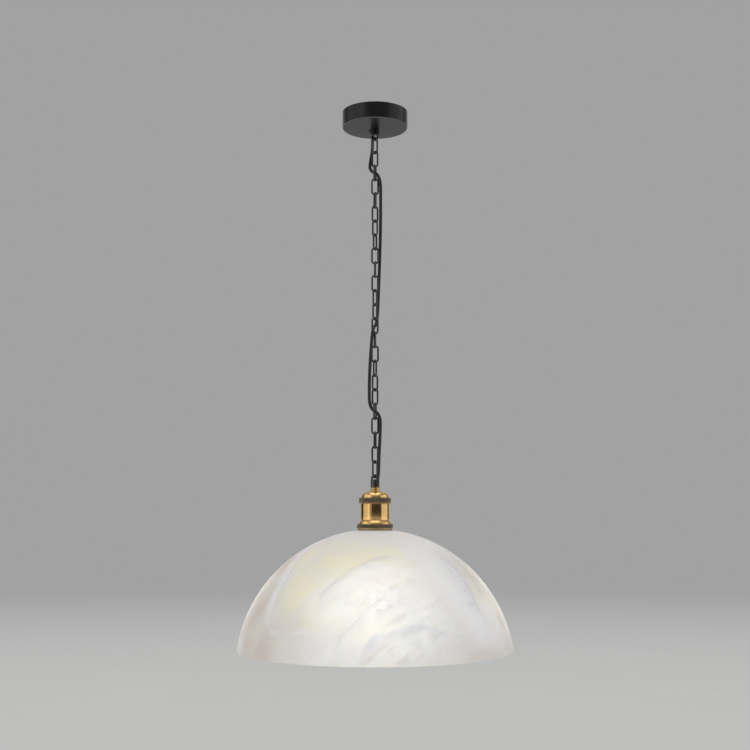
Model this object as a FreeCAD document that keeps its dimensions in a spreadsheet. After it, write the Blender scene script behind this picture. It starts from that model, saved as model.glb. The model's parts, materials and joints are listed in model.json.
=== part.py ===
import FreeCAD, Part
import Sketcher
import math
import os

# A glass pendant light: a dome of glass on a brass lamp holder, hung from a ceiling rose by a chain that
# has the supply cable threaded through it.
# Millimetres. The origin is the middle of the rose where it meets the ceiling, +Z is up, and the pendant
# hangs down along -Z.

Vector = FreeCAD.Vector
UP = Vector(0, 0, 1)
ALONG_X = Vector(1, 0, 0)

LINK_COUNT = 24
POLE_COUNT = 3
SOCKET_THREAD_TURNS = 6
BULB_THREAD_TURNS = 5
BULB_THREAD_STARTS_AFTER = 3

# The links that the cable passes through, counted from the rose, and the side that it enters from
CROSSED_LINKS = {3: 1, 14: -1, 20: 1}

# How far the three cores spread in the sheath, in core radii
CORE_SPREAD = 1.3

# The cable entry's slant from the vertical
ENTRY_SLANT = 40

# How much of the shorter run beside a bend its arc takes
BEND_SHARE = 0.45

# How much of their room the wires run straight from the sheath before they bend
ROSE_WIRE_LIFT = 0.35
LAMP_WIRE_DIP = 0.2

# The cable's bends above and below the run that moves with the chain
UPPER_BENDS = 3
LOWER_BENDS = 3

# The cable's way between the crossings: links down from the rose's eye, and heading round the chain
UPPER_TAIL = [(0.7, 116), (1.6, 147)]
RIGHT_RUN = [(4.6, -2), (6.7, 17), (8.8, 35), (10.9, 51)]
LEFT_RUN = [(15.0, 229), (16.4, 209), (17.8, 186)]
LOWER_TAIL = [(21.2, -30), (22.5, -47)]

DRIVING_SIZES = {
    # Ceiling rose
    "rose_radius": 50.0,
    "rose_height": 25.0,
    "rose_wall": 1.2,
    "rose_edge_round": 2.2,
    # Ceiling strap
    "strap_margin": 4.4,
    "strap_width": 22.0,
    "strap_thickness": 2.0,
    "strap_drop": 7.0,
    "strap_middle_margin": 0.4,
    "strap_ramp": 8.0,
    "slot_setback": 10.0,
    "slot_width": 5.0,
    "slot_length": 14.0,
    "tab_reach": 20.0,
    "tab_width": 16.0,
    # Thread and nuts that hold the loops
    "thread_radius": 5.0,
    "thread_play": 0.1,
    "nut_flats": 14.0,
    "nut_height": 3.5,
    "thread_tail": 1.5,
    "thread_depth": 8.0,
    # Eye loops at both ends of the chain
    "loop_margin": 0.1,
    "loop_body": 12.0,
    "loop_round": 1.4,
    "loop_wire": 3.2,
    "eye_width": 6.6,
    "rose_eye_height": 4.8,
    "lamp_eye_height": 4.4,
    "rose_loop_heading": 153.0,
    "lamp_loop_heading": 24.0,
    # Chain
    "link_wire": 2.8,
    "link_width": 12.0,
    "link_inner_length": 21.7,
    "link_gap": 0.2,
    "first_link_heading": 42.9,
    "link_turn": 105.7,
    # Supply cable
    "cable_diameter": 4.8,
    "cable_lane_gap": 0.35,
    "cable_fit": 0.1,
    "crossing_rise": 4.3,
    "bush_clearance": 1.0,
    "bush_heading": 105.0,
    "bush_wall": 1.8,
    "bush_flange_width": 1.7,
    "bush_flange": 1.6,
    "bush_barb": 0.6,
    "bush_inside": 4.5,
    "bush_tail": 6.4,
    "bush_bend": 14.0,
    "entry_bend": 9.0,
    "sheath_inside": 3.0,
    "core_diameter": 2.0,
    # Terminal block and earth screw in the rose
    "block_length": 30.0,
    "block_width": 14.0,
    "block_room": 3.2,
    "block_setback": 6.0,
    "pole_spacing": 9.0,
    "pole_fit": 0.2,
    "clamp_screw_radius": 1.4,
    "clamp_screw_spacing": 7.0,
    "fixing_screw_radius": 1.5,
    "fixing_head_radius": 2.6,
    "fixing_head_height": 1.6,
    "earth_clearance": 0.4,
    "earth_screw_radius": 2.0,
    "earth_head_radius": 3.6,
    "earth_head_height": 2.0,
    "screw_play": 0.1,
    # Cable entry in the side of the lamp loop
    "entry_reach": 12.0,
    "entry_drop": 1.5,
    "entry_play": 0.6,
    "stem_play": 1.0,
    # Lamp holder, brass
    "neck_radius": 6.9,
    "neck_height": 4.5,
    "neck_bead": 0.8,
    "cap_height": 10.5,
    "cap_boss_radius": 9.5,
    "cap_boss_height": 1.2,
    "cap_shoulder_round": 10.5,
    "cap_wall": 1.4,
    "band_wall": 2.45,
    "band_height": 8.3,
    "band_edge": 0.8,
    "shell_radius": 21.75,
    "shell_height": 25.0,
    "shell_wall": 2.15,
    "spigot_step": 0.85,
    "spigot_height": 6.5,
    "spigot_play": 0.15,
    "ledge_height": 3.5,
    "skirt_step": 2.15,
    "skirt_wall": 2.2,
    "skirt_length": 29.5,
    "seat_ring_height": 13.0,
    "seat_ring_lip": 0.45,
    "seat_ring_flare": 5.0,
    "seat_ring_width": 4.65,
    "seat_ring_edge": 1.0,
    "clamp_ring_height": 8.0,
    "clamp_ring_width": 5.7,
    "clamp_ring_edge": 1.0,
    "ring_play": 0.3,
    "gasket_thickness": 1.3,
    "gasket_play": 0.5,
    "gasket_width": 5.1,
    # Glass shade, part of a sphere
    "shade_rim_radius": 200.0,
    "shade_height": 172.8,
    "shade_land_margin": 2.8,
    "shade_hole_play": 1.3,
    "shade_wall": 4.0,
    "shade_rim_round": 2.6,
    # Socket inside the holder
    "socket_fit": 0.3,
    "socket_height": 20.0,
    "socket_floor": 8.0,
    "socket_sleeve": 27.0,
    "screw_shell_wall": 0.5,
    "screw_shell_fit": 0.2,
    "screw_flange_radius": 9.0,
    "screw_collar": 2.5,
    "screw_pitch": 3.63,
    "screw_crest_radius": 13.7,
    "screw_root_radius": 12.7,
    "contact_stem_radius": 2.0,
    "contact_stem_length": 6.0,
    "contact_radius": 4.5,
    "contact_height": 4.7,
    "terminal_offset": 10.0,
    "terminal_screw_radius": 1.6,
    "terminal_screw_depth": 5.0,
    "terminal_head_radius": 3.0,
    "terminal_head_height": 2.0,
    # Bulb
    "bulb_play": 0.35,
    "bulb_tip_radius": 4.6,
    "bulb_tip_height": 3.0,
    "bulb_collar": 2.5,
    "bulb_cap_wall": 0.5,
    "bulb_neck_round": 15.0,
    "bulb_neck_length": 8.0,
    "bulb_radius": 47.5,
    "bulb_wall": 1.2,
}

doc = FreeCAD.newDocument("pendant_light")
sheet = doc.addObject("Spreadsheet::Sheet", "Sizes")
for row, (alias, value) in enumerate(DRIVING_SIZES.items(), start=1):
    sheet.set(f"A{row}", alias)
    sheet.set(f"B{row}", str(value))
    sheet.setAlias(f"B{row}", alias)
doc.recompute()


class Size:
    """A length or an angle, kept as a number together with the sheet formula that gives it."""

    def __init__(self, number, formula):
        self.number = float(number)
        self.formula = formula

    def __add__(self, other):
        other = as_size(other)
        return Size(self.number + other.number, f"({self.formula} + {other.formula})")

    def __sub__(self, other):
        other = as_size(other)
        return Size(self.number - other.number, f"({self.formula} - {other.formula})")

    def __mul__(self, other):
        other = as_size(other)
        return Size(self.number * other.number, f"({self.formula} * {other.formula})")

    def __truediv__(self, other):
        other = as_size(other)
        return Size(self.number / other.number, f"({self.formula} / {other.formula})")

    def __neg__(self):
        return Size(-self.number, f"(-{self.formula})")

    __radd__ = __add__
    __rmul__ = __mul__


def as_size(value):
    """A plain number as a Size."""
    if isinstance(value, Size):
        return value
    return Size(value, f"({float(value)!r})")


def size(alias):
    """A driving dimension of the sheet."""
    return Size(sheet.get(alias), f"Sizes.{alias}")


def larger(first, second):
    """The larger of two sizes."""
    number = max(first.number, second.number)
    return Size(number, f"max({first.formula}; {second.formula})")


def leg(long_side, short_side):
    """The third side of a right-angled triangle."""
    number = math.sqrt(long_side.number ** 2 - short_side.number ** 2)
    return Size(number, f"sqrt({long_side.formula}^2 - {short_side.formula}^2)")


def polar(radius, heading):
    """The X and Y of a point at a radius from the axis and a heading in degrees."""
    angle = math.radians(heading.number)
    across = Size(radius.number * math.cos(angle), f"({radius.formula} * cos({heading.formula}))")
    along = Size(radius.number * math.sin(angle), f"({radius.formula} * sin({heading.formula}))")
    return across, along


def bind(item, path, value):
    """Ties one property of an object to the sheet."""
    item.setExpression(path, as_size(value).formula)


def place(item, x=0, y=0, z=0, heading=None):
    """Puts an object at a point, turned about the vertical."""
    if heading is not None:
        item.Placement = FreeCAD.Placement(Vector(), FreeCAD.Rotation(UP, heading.number))
        item.setExpression("Placement.Rotation.Angle", f"{heading.formula} * 1 deg")
    for axis, value in (("x", x), ("y", y), ("z", z)):
        bind(item, f"Placement.Base.{axis}", value)
    return item


def cylinder(name, radius, bottom, height, x=0, y=0):
    """An upright cylinder that stands on a level."""
    solid = doc.addObject("Part::Cylinder", name)
    bind(solid, "Radius", radius)
    bind(solid, "Height", height)
    return place(solid, x, y, bottom)


def cylinder_along_y(name, radius, start, length, x, z):
    """A level cylinder that runs from start towards -Y."""
    solid = doc.addObject("Part::Cylinder", name)
    bind(solid, "Radius", radius)
    bind(solid, "Height", length)
    solid.Placement = FreeCAD.Placement(Vector(), FreeCAD.Rotation(ALONG_X, 90))
    return place(solid, x, start, z)


def box(name, length, width, height, x, y, z):
    """A box centred on x and y that stands on the level z."""
    solid = doc.addObject("Part::Box", name)
    bind(solid, "Length", length)
    bind(solid, "Width", width)
    bind(solid, "Height", height)
    return place(solid, x - length / 2, y - width / 2, z)


def half_ring(name, ring_radius, wire_radius, x, z, upwards):
    """Half of a round bow in the XZ plane."""
    solid = doc.addObject("Part::Torus", name)
    solid.Angle3 = 180
    bind(solid, "Radius1", ring_radius)
    bind(solid, "Radius2", wire_radius)
    solid.Placement = FreeCAD.Placement(Vector(), FreeCAD.Rotation(ALONG_X, 90 if upwards else -90))
    return place(solid, x, 0, z)


def fused(name, pieces):
    """One solid out of several that meet."""
    whole = doc.addObject("Part::MultiFuse", name)
    whole.Shapes = pieces
    return whole


def cut(name, base, tools):
    """The base with every tool taken out of it."""
    result = doc.addObject("Part::Cut", name)
    result.Base = base
    result.Tool = tools[0] if len(tools) == 1 else fused(name + "_tools", tools)
    return result


def group(name, solids):
    """Separate solids kept as one sub-part."""
    compound = doc.addObject("Part::Compound", name)
    compound.Links = solids
    return compound


def tie_corner(sketch, edge, end, x, y):
    """Ties one corner of a sketch to its place from the sketch's origin."""
    for kind, axis, value in (("DistanceX", -2, x), ("DistanceY", -1, y)):
        if abs(value.number) < 1e-9:
            sketch.addConstraint(Sketcher.Constraint("PointOnObject", edge, end, axis))
        elif value.number > 0:
            index = sketch.addConstraint(Sketcher.Constraint(kind, -1, 1, edge, end, value.number))
            bind(sketch, f"Constraints[{index}]", value)
        else:
            index = sketch.addConstraint(Sketcher.Constraint(kind, edge, end, -1, 1, -value.number))
            bind(sketch, f"Constraints[{index}]", -value)


def draw_outline(sketch, corners):
    """A closed outline. A corner is (x, y), or (x, y, radius) where an arc leads on to the next corner.
    A positive radius bulges to the left of the way round, and a negative one to the right."""
    corners = [tuple(as_size(value) for value in corner) for corner in corners]
    spots = [Vector(corner[0].number, corner[1].number, 0) for corner in corners]
    count = len(corners)
    ends = []
    for index, corner in enumerate(corners):
        start = spots[index]
        stop = spots[(index + 1) % count]
        if len(corner) == 2:
            sketch.addGeometry(Part.LineSegment(start, stop))
            ends.append((1, 2))
            continue
        radius = abs(corner[2].number)
        chord = stop - start
        bulge = radius - math.sqrt(radius ** 2 - chord.Length ** 2 / 4)
        side = Vector(-chord.y, chord.x, 0).normalize() * math.copysign(bulge, corner[2].number)
        sketch.addGeometry(Part.Arc(start, (start + stop) / 2 + side, stop))
        forward = sketch.getPoint(index, 1).distanceToPoint(start) < 1e-6
        ends.append((1, 2) if forward else (2, 1))
    for index, corner in enumerate(corners):
        after = (index + 1) % count
        sketch.addConstraint(Sketcher.Constraint("Coincident", index, ends[index][1], after, ends[after][0]))
        tie_corner(sketch, index, ends[index][0], corner[0], corner[1])
        if len(corner) == 3:
            radius = corner[2] if corner[2].number > 0 else -corner[2]
            tie = sketch.addConstraint(Sketcher.Constraint("Radius", index, radius.number))
            bind(sketch, f"Constraints[{tie}]", radius)


def new_sketch(body, role):
    """A sketch on one of the body's own origin planes."""
    sketch = body.newObject("Sketcher::SketchObject", body.Name + "_outline")
    plane = [item for item in body.Origin.OriginFeatures if item.Role == role][0]
    sketch.AttachmentSupport = (plane, [""])
    sketch.MapMode = "FlatFace"
    return sketch


def turned(name, top, profile):
    """A body turned about Z. The profile's corners are (radius, depth), with depth measured down from the
    top, and an optional arc radius as in draw_outline."""
    body = doc.addObject("PartDesign::Body", name)
    sketch = new_sketch(body, "XZ_Plane")
    draw_outline(sketch, [(corner[0], -as_size(corner[1]), *corner[2:]) for corner in profile])
    revolution = body.newObject("PartDesign::Revolution", name + "_turned")
    revolution.Profile = sketch
    revolution.ReferenceAxis = (sketch, ["V_Axis"])
    revolution.Angle = 360
    return place(body, z=top)


def ring(name, top, inner_radius, outer_radius, height):
    """A plain flat ring."""
    return turned(name, top, [
        (inner_radius, 0), (outer_radius, 0), (outer_radius, height), (inner_radius, height)])


def route_edges(points, radii):
    """Straight runs joined by tangent arcs, with every run split in its middle, so that a cord can be parted
    there. An arc is as large as its shorter run allows, unless radii gives one for that point."""
    starts = [points[0]]
    edges = []
    for index in range(1, len(points) - 1):
        before, here, after = points[index - 1:index + 2]
        back = before - here
        ahead = after - here
        turn = math.pi - back.getAngle(ahead)
        shorter = min(back.Length, ahead.Length)
        radius = radii.get(index, BEND_SHARE * shorter / math.tan(turn / 2))
        reach = radius * math.tan(turn / 2)
        back.normalize()
        ahead.normalize()
        enter = here + back * reach
        leave = here + ahead * reach
        middle = here + (back + ahead).normalize() * (math.hypot(radius, reach) - radius)
        edges.append((starts[-1], enter, middle, leave))
        starts.append(leave)
        print(f"arc {index}: turn {math.degrees(turn):.1f} degrees, radius {radius:.1f} mm")
    runs = []
    for start, enter, middle, leave in edges:
        halfway = (start + enter) / 2
        runs.append([Part.LineSegment(start, halfway).toShape()])
        runs.append([Part.LineSegment(halfway, enter).toShape(), Part.Arc(enter, middle, leave).toShape()])
    halfway = (starts[-1] + points[-1]) / 2
    runs.append([Part.LineSegment(starts[-1], halfway).toShape()])
    runs.append([Part.LineSegment(halfway, points[-1]).toShape()])
    return runs


def tube_along(name, runs, diameter):
    """A round cord along some of a route's runs."""
    path = Part.Wire([edge for run in runs for edge in run])
    first = path.Edges[0]
    start = first.Vertexes[0].Point
    way = first.Vertexes[1].Point - start
    end_circle = Part.Wire(Part.makeCircle(diameter / 2, start, way))
    tube = path.makePipeShell([end_circle], True, False)
    expected = math.pi * diameter ** 2 / 4 * path.Length
    if abs(tube.Volume - expected) > 0.005 * expected:
        raise ValueError(f"{name} came out with the wrong volume")
    cord = doc.addObject("Part::Feature", name)
    cord.Shape = tube
    print(f"{name}: {path.Length:.1f} mm long")
    return cord


def cord(name, points, diameter, radii=None):
    """A round cord along a whole route."""
    return tube_along(name, route_edges(points, radii or {}), diameter)


# Levels from the ceiling down to the glass
floor_level = -size("rose_height")
rose_eye_level = floor_level - size("loop_body") - size("rose_eye_height")
pitch = size("link_inner_length") - size("link_gap")
lamp_eye_level = rose_eye_level - LINK_COUNT * pitch + size("link_gap")
neck_level = lamp_eye_level - size("lamp_eye_height") - size("loop_body")
cap_level = neck_level - size("neck_height")
band_level = cap_level - size("cap_height")
shell_level = band_level - size("band_height")
seat_level = shell_level - size("shell_height")
gasket_level = seat_level - size("seat_ring_height")
land_level = gasket_level - size("gasket_thickness")
under_land_level = land_level - size("shade_wall")
clamp_level = under_land_level - size("gasket_thickness") - size("ring_play")
spigot_level = shell_level + size("spigot_height")
ledge_level = seat_level + size("ledge_height")
socket_level = ledge_level + size("socket_height")
socket_floor_level = socket_level - size("socket_floor")
tip_level = socket_floor_level - size("contact_height") - size("bulb_play")
bulb_cap_level = tip_level - size("bulb_tip_height")
socket_thread_level = socket_floor_level - size("screw_shell_wall")
bulb_thread_level = socket_thread_level - BULB_THREAD_STARTS_AFTER * size("screw_pitch")
bulb_neck_level = bulb_thread_level - BULB_THREAD_TURNS * size("screw_pitch") - size("bulb_collar")
strap_middle_top = -size("strap_drop")
strap_middle_bottom = strap_middle_top - size("strap_thickness")

# Radii that several pieces share
threaded_hole = size("thread_radius") + size("thread_play")
nut_corner = size("nut_flats") / math.sqrt(3)
loop_radius = size("eye_width") / 2 + size("loop_wire") + size("loop_margin")
cable_radius = size("cable_diameter") / 2
core_radius = size("core_diameter") / 2
bush_bore = cable_radius + size("cable_fit")
bush_radius = bush_bore + size("bush_wall")
bush_flange_radius = bush_radius + size("bush_flange_width")
bush_offset = size("bush_clearance") + larger(
    loop_radius + bush_flange_radius, nut_corner + bush_radius + size("bush_barb"))
bush_x, bush_y = polar(bush_offset, size("bush_heading"))
earth_x = nut_corner + size("earth_head_radius") + size("earth_clearance")
shell_radius = size("shell_radius")
shell_inner_radius = shell_radius - size("shell_wall")
spigot_radius = shell_radius - size("spigot_step")
skirt_radius = shell_radius - size("skirt_step")
skirt_inner_radius = skirt_radius - size("skirt_wall")
gasket_inner_radius = skirt_radius + size("gasket_play")
gasket_outer_radius = gasket_inner_radius + size("gasket_width")
socket_bore = size("screw_crest_radius") + size("screw_shell_wall") + size("screw_shell_fit")
bulb_crest = size("screw_crest_radius") - size("bulb_play")
bulb_root = size("screw_root_radius") - size("bulb_play")


def ceiling_strap():
    """A hat-shaped strap: two slotted feet on the ceiling, a dropped middle and a tab for the terminals."""
    thickness = size("strap_thickness")
    drop = size("strap_drop")
    ramp = size("strap_ramp")
    end = leg(size("rose_radius") - size("rose_wall") - size("strap_margin"), size("strap_width") / 2)
    bend = earth_x + size("earth_head_radius") + size("strap_middle_margin")
    knee = bend + ramp
    slope_number = math.hypot(ramp.number, drop.number)
    slope = Size(slope_number, f"sqrt({ramp.formula}^2 + {drop.formula}^2)")
    inset = thickness * (slope - ramp) / drop
    right_side = [(end, 0), (end, -thickness), (knee - inset, -thickness), (bend - inset, -drop - thickness)]
    left_side = [(-as_size(x), z) for x, z in reversed(right_side)]
    middle = [(-bend, -drop), (bend, -drop)]
    body = doc.addObject("PartDesign::Body", "strap_body")
    sketch = new_sketch(body, "XZ_Plane")
    draw_outline(sketch, right_side + left_side + [(-knee, 0)] + middle + [(knee, 0)])
    pad = body.newObject("PartDesign::Pad", "strap_pad")
    pad.Profile = sketch
    pad.SideType = "Symmetric"
    bind(pad, "Length", size("strap_width"))
    tab_y = -(size("strap_width") + size("tab_reach")) / 2
    tab = box("strap_tab", size("tab_width"), size("tab_reach"), thickness, as_size(0), tab_y,
              strap_middle_bottom)
    earth_hole = size("earth_screw_radius") + size("screw_play")
    fixing_hole = size("fixing_screw_radius") + size("screw_play")
    holes = [
        cylinder("strap_stud_hole", threaded_hole, strap_middle_bottom, thickness),
        cylinder("strap_earth_hole", earth_hole, strap_middle_bottom, thickness, earth_x),
        cylinder("strap_fixing_hole", fixing_hole, strap_middle_bottom, thickness, size("pole_spacing") / 2,
                 block_middle_y)]
    straight = size("slot_length") - size("slot_width")
    for name, side in (("left", -1), ("right", 1)):
        centre = (end - size("slot_setback")) * side
        holes.append(
            box(f"{name}_slot", straight, size("slot_width"), thickness, centre, as_size(0), -thickness))
        for half in (-1, 1):
            x = centre + straight / 2 * half
            end_name = f"{name}_slot_end_{half + 1}"
            holes.append(cylinder(end_name, size("slot_width") / 2, -thickness, thickness, x))
    return cut("ceiling_strap", fused("strap_blank", [body, tab]), holes)


def rose_cup():
    """A shallow cup with a rounded edge, a stud hole in its floor and a second hole for the cable bush."""
    radius = size("rose_radius")
    height = size("rose_height")
    wall = size("rose_wall")
    edge = size("rose_edge_round")
    bowl = turned("rose_bowl", as_size(0), [
        (radius - wall, 0), (radius, 0), (radius, height - edge, edge), (radius - edge, height),
        (threaded_hole, height), (threaded_hole, height - wall), (radius - edge, height - wall, wall - edge),
        (radius - wall, height - edge)])
    bush_hole = bush_radius + size("cable_fit")
    return cut("rose_cup", bowl, [cylinder("cup_bush_hole", bush_hole, floor_level, wall, bush_x, bush_y)])


def rose_stud():
    """The threaded stud through strap and cup, screwed into the loop."""
    top = strap_middle_top + size("nut_height") + size("thread_tail")
    bottom = floor_level - size("thread_depth") + size("thread_play")
    radius = size("thread_radius")
    return turned("rose_stud", top, [(0, 0), (radius, 0), (radius, top - bottom), (0, top - bottom)])


def hex_nut(name, bottom):
    """A plain hexagon nut that stands on a level."""
    prism = doc.addObject("Part::Prism", name + "_blank")
    prism.Polygon = 6
    bind(prism, "Circumradius", nut_corner)
    bind(prism, "Height", size("nut_height"))
    place(prism, z=bottom)
    return cut(name, prism, [cylinder(name + "_bore", threaded_hole, bottom, size("nut_height"))])


def rose_nuts():
    """One nut above the strap, one below it and one on the cup's floor."""
    return group("rose_nuts", [
        hex_nut("strap_top_nut", strap_middle_top),
        hex_nut("strap_under_nut", strap_middle_bottom - size("nut_height")),
        hex_nut("cup_nut", floor_level + size("rose_wall"))])


def loop_bow(name, base, eye_height, way):
    """The wire bow of an eye loop, from the loop's body downwards (way -1) or upwards (way 1)."""
    wire_radius = size("loop_wire") / 2
    bow_radius = size("eye_width") / 2 + wire_radius
    straight = eye_height - size("eye_width") / 2
    root = size("loop_round") + wire_radius
    bottom = base - root if way > 0 else base - straight
    legs = [
        cylinder(f"{name}_leg_{side + 1}", wire_radius, bottom, straight + root, bow_radius * side)
        for side in (-1, 1)]
    bow = half_ring(name + "_bow", bow_radius, wire_radius, as_size(0), base + straight * way, way > 0)
    return legs + [bow]


def rose_loop():
    """The eye under the rose, on a body that clamps the cup to the stud."""
    radius = loop_radius
    body = size("loop_body")
    edge = size("loop_round")
    depth = size("thread_depth")
    knob = turned("rose_loop_body", as_size(0), [
        (threaded_hole, 0), (radius, 0), (radius, body - edge, edge), (radius - edge, body), (0, body),
        (0, depth), (threaded_hole, depth)])
    whole = fused("rose_loop", [knob] + loop_bow("rose_loop", -body, size("rose_eye_height"), -1))
    return place(whole, z=floor_level, heading=size("rose_loop_heading"))


def cable_bush():
    """A snap-in bush that lines the cable's hole: a flange below the floor and a barb above it."""
    radius = bush_radius
    wall = size("rose_wall")
    barb = radius + size("bush_barb")
    inside = size("bush_inside")
    flange = bush_flange_radius
    bottom = inside + wall + size("bush_flange")
    bush = turned("cable_bush", as_size(0), [
        (bush_bore, 0), (radius, 0), (barb, inside), (radius, inside), (radius, inside + wall),
        (flange, inside + wall), (flange, bottom), (bush_bore, bottom)])
    return place(bush, bush_x, bush_y, floor_level + wall + inside)


block_middle_y = -(size("strap_width") + size("block_width")) / 2 - size("block_setback")
block_bottom = floor_level + size("rose_wall") + size("block_room") + size("fixing_head_height")
block_height = strap_middle_bottom - block_bottom
pole_level = block_bottom + block_height / 2
pole_places = [size("pole_spacing") * (index - (POLE_COUNT - 1) / 2) for index in range(POLE_COUNT)]
clamp_places = [
    (x, block_middle_y + size("clamp_screw_spacing") / 2 * side) for x in pole_places for side in (-1, 1)]


def terminal_block():
    """An insulating block under the strap's tab, with a bore and two clamp screw holes for each pole."""
    width = size("block_width")
    blank = box("block_blank", size("block_length"), width, block_height, as_size(0), block_middle_y,
                block_bottom)
    bore = core_radius + size("pole_fit")
    back = block_middle_y + width / 2
    holes = [cylinder_along_y(f"pole_bore_{index}", bore, back, width, x, pole_level)
             for index, x in enumerate(pole_places)]
    clamp_hole = size("clamp_screw_radius") + size("screw_play")
    for index, (x, y) in enumerate(clamp_places):
        holes.append(cylinder(f"clamp_hole_{index}", clamp_hole, block_bottom, block_height / 2, x, y))
    fixing_hole = size("fixing_screw_radius") + size("screw_play")
    holes.append(cylinder("fixing_hole", fixing_hole, block_bottom, block_height, size("pole_spacing") / 2,
                          block_middle_y))
    return cut("terminal_block", blank, holes)


def terminal_screws():
    """The clamp screws of the poles and the screw that holds the block to the tab."""
    length = block_height / 2 - core_radius - size("screw_play") / 2
    solids = [
        cylinder(f"clamp_screw_{index}", size("clamp_screw_radius"), block_bottom, length, x, y)
        for index, (x, y) in enumerate(clamp_places)]
    x = size("pole_spacing") / 2
    head = cylinder("fixing_head", size("fixing_head_radius"), block_bottom - size("fixing_head_height"),
                    size("fixing_head_height"), x, block_middle_y)
    shank = cylinder("fixing_shank", size("fixing_screw_radius"), block_bottom,
                     block_height + size("strap_thickness"), x, block_middle_y)
    return group("terminal_screws", solids + [fused("fixing_screw", [head, shank])])


earth_gap = size("core_diameter") + size("screw_play")


def earth_screw():
    """The earth screw in the strap, with its head below and room for the earth wire under the head."""
    head_top = strap_middle_bottom - earth_gap
    head = cylinder("earth_head", size("earth_head_radius"), head_top - size("earth_head_height"),
                    size("earth_head_height"), earth_x)
    shank = cylinder("earth_shank", size("earth_screw_radius"), head_top, earth_gap + size("strap_thickness"),
                     earth_x)
    return fused("earth_screw", [head, shank])


sheath_level = floor_level + size("rose_wall") + size("bush_inside") + size("sheath_inside")


def core_start(middle, heading):
    """Where one of the three cores leaves the end of the cable's sheath."""
    angle = math.radians(heading)
    spread = CORE_SPREAD * core_radius.number
    return middle + Vector(spread * math.cos(angle), spread * math.sin(angle), 0)


def rose_wires():
    """Three insulated wires from the stripped cable: two to the terminal block and one to the earth screw."""
    middle = Vector(bush_x.number, bush_y.number, sheath_level.number)
    lift = Vector(0, 0, ROSE_WIRE_LIFT * (strap_middle_bottom - sheath_level).number)
    core = core_radius.number
    pole_z = pole_level.number
    pole_start = block_middle_y.number + size("block_width").number / 2
    pole_end = block_middle_y.number + size("clamp_screw_spacing").number / 2
    side_x = nut_corner.number + 6 * core
    left_pole = pole_places[0].number
    right_pole = pole_places[-1].number
    edge_y = size("strap_width").number / 2
    live_start = core_start(middle, 180)
    live = [
        live_start, live_start + lift, Vector(-side_x, edge_y - 2 * core, pole_z + 1.5 * core),
        Vector(-side_x, 4 * core - edge_y, pole_z + 0.5 * core),
        Vector(left_pole, pole_start + 3 * core, pole_z), Vector(left_pole, pole_end, pole_z)]
    neutral_start = core_start(middle, 60)
    neutral = [
        neutral_start, neutral_start + lift, Vector(right_pole, edge_y + 3 * core, pole_z + core),
        Vector(side_x + 6 * core, 2 * core, pole_z), Vector(right_pole, pole_start + 4 * core, pole_z),
        Vector(right_pole, pole_end, pole_z)]
    screw_x = earth_x.number
    screw_y = (size("earth_screw_radius") + size("screw_play")).number
    screw_z = (strap_middle_bottom - core_radius - size("screw_play") / 2).number
    earth_start = core_start(middle, -60)
    earth = [
        earth_start, earth_start + lift, Vector(screw_x, edge_y - 2 * core, screw_z),
        Vector(screw_x, screw_y, screw_z)]
    diameter = size("core_diameter").number
    routes = {"rose_live_wire": live, "rose_neutral_wire": neutral, "rose_earth_wire": earth}
    return [cord(name, points, diameter) for name, points in routes.items()]


def link_heading(number):
    """The heading of a link's plane, as less than half a turn."""
    heading = size("first_link_heading") + (number - 1) * size("link_turn")
    return Size(heading.number % 180, f"mod({heading.formula}; 180)")


def link_level(number):
    """The middle of a link; its upper bow rides on the bow above."""
    first = rose_eye_level + size("link_gap") - size("link_inner_length") / 2
    return first - (number - 1) * pitch


def chain_link(number):
    """One welded oval link of round wire."""
    name = f"chain_link_{number:02d}"
    wire_radius = size("link_wire") / 2
    bow_radius = size("link_width") / 2 - wire_radius
    straight = size("link_inner_length") / 2 + wire_radius - bow_radius
    pieces = [cylinder(f"{name}_leg_{side + 1}", wire_radius, -straight, straight * 2, bow_radius * side)
              for side in (-1, 1)]
    pieces.append(half_ring(name + "_top", bow_radius, wire_radius, as_size(0), straight, True))
    pieces.append(half_ring(name + "_bottom", bow_radius, wire_radius, as_size(0), -straight, False))
    return place(fused(name, pieces), z=link_level(number), heading=link_heading(number))


def lamp_loop():
    """The eye on the lamp, with a hollow threaded stem and a slanted cable entry in its side."""
    radius = loop_radius
    body = size("loop_body")
    edge = size("loop_round")
    thread = size("thread_radius")
    bore = cable_radius + size("stem_play")
    stem = size("neck_height") + size("cap_wall") + size("nut_height") + size("thread_tail")
    knob = turned("lamp_loop_body", body, [
        (0, 0), (radius - edge, 0, edge), (radius, edge), (radius, body), (thread, body),
        (thread, body + stem), (bore, body + stem), (bore, body - bore), (0, body - bore)])
    whole = fused("lamp_loop_blank", [knob] + loop_bow("lamp_loop", body, size("lamp_eye_height"), 1))
    entry = doc.addObject("Part::Cylinder", "lamp_loop_entry")
    bind(entry, "Radius", cable_radius + size("entry_play"))
    bind(entry, "Height", size("entry_reach") * 2)
    entry.Placement = FreeCAD.Placement(Vector(), FreeCAD.Rotation(ALONG_X, ENTRY_SLANT))
    place(entry, z=-size("entry_drop"))
    return place(cut("lamp_loop", whole, [entry]), z=neck_level, heading=size("lamp_loop_heading"))


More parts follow.
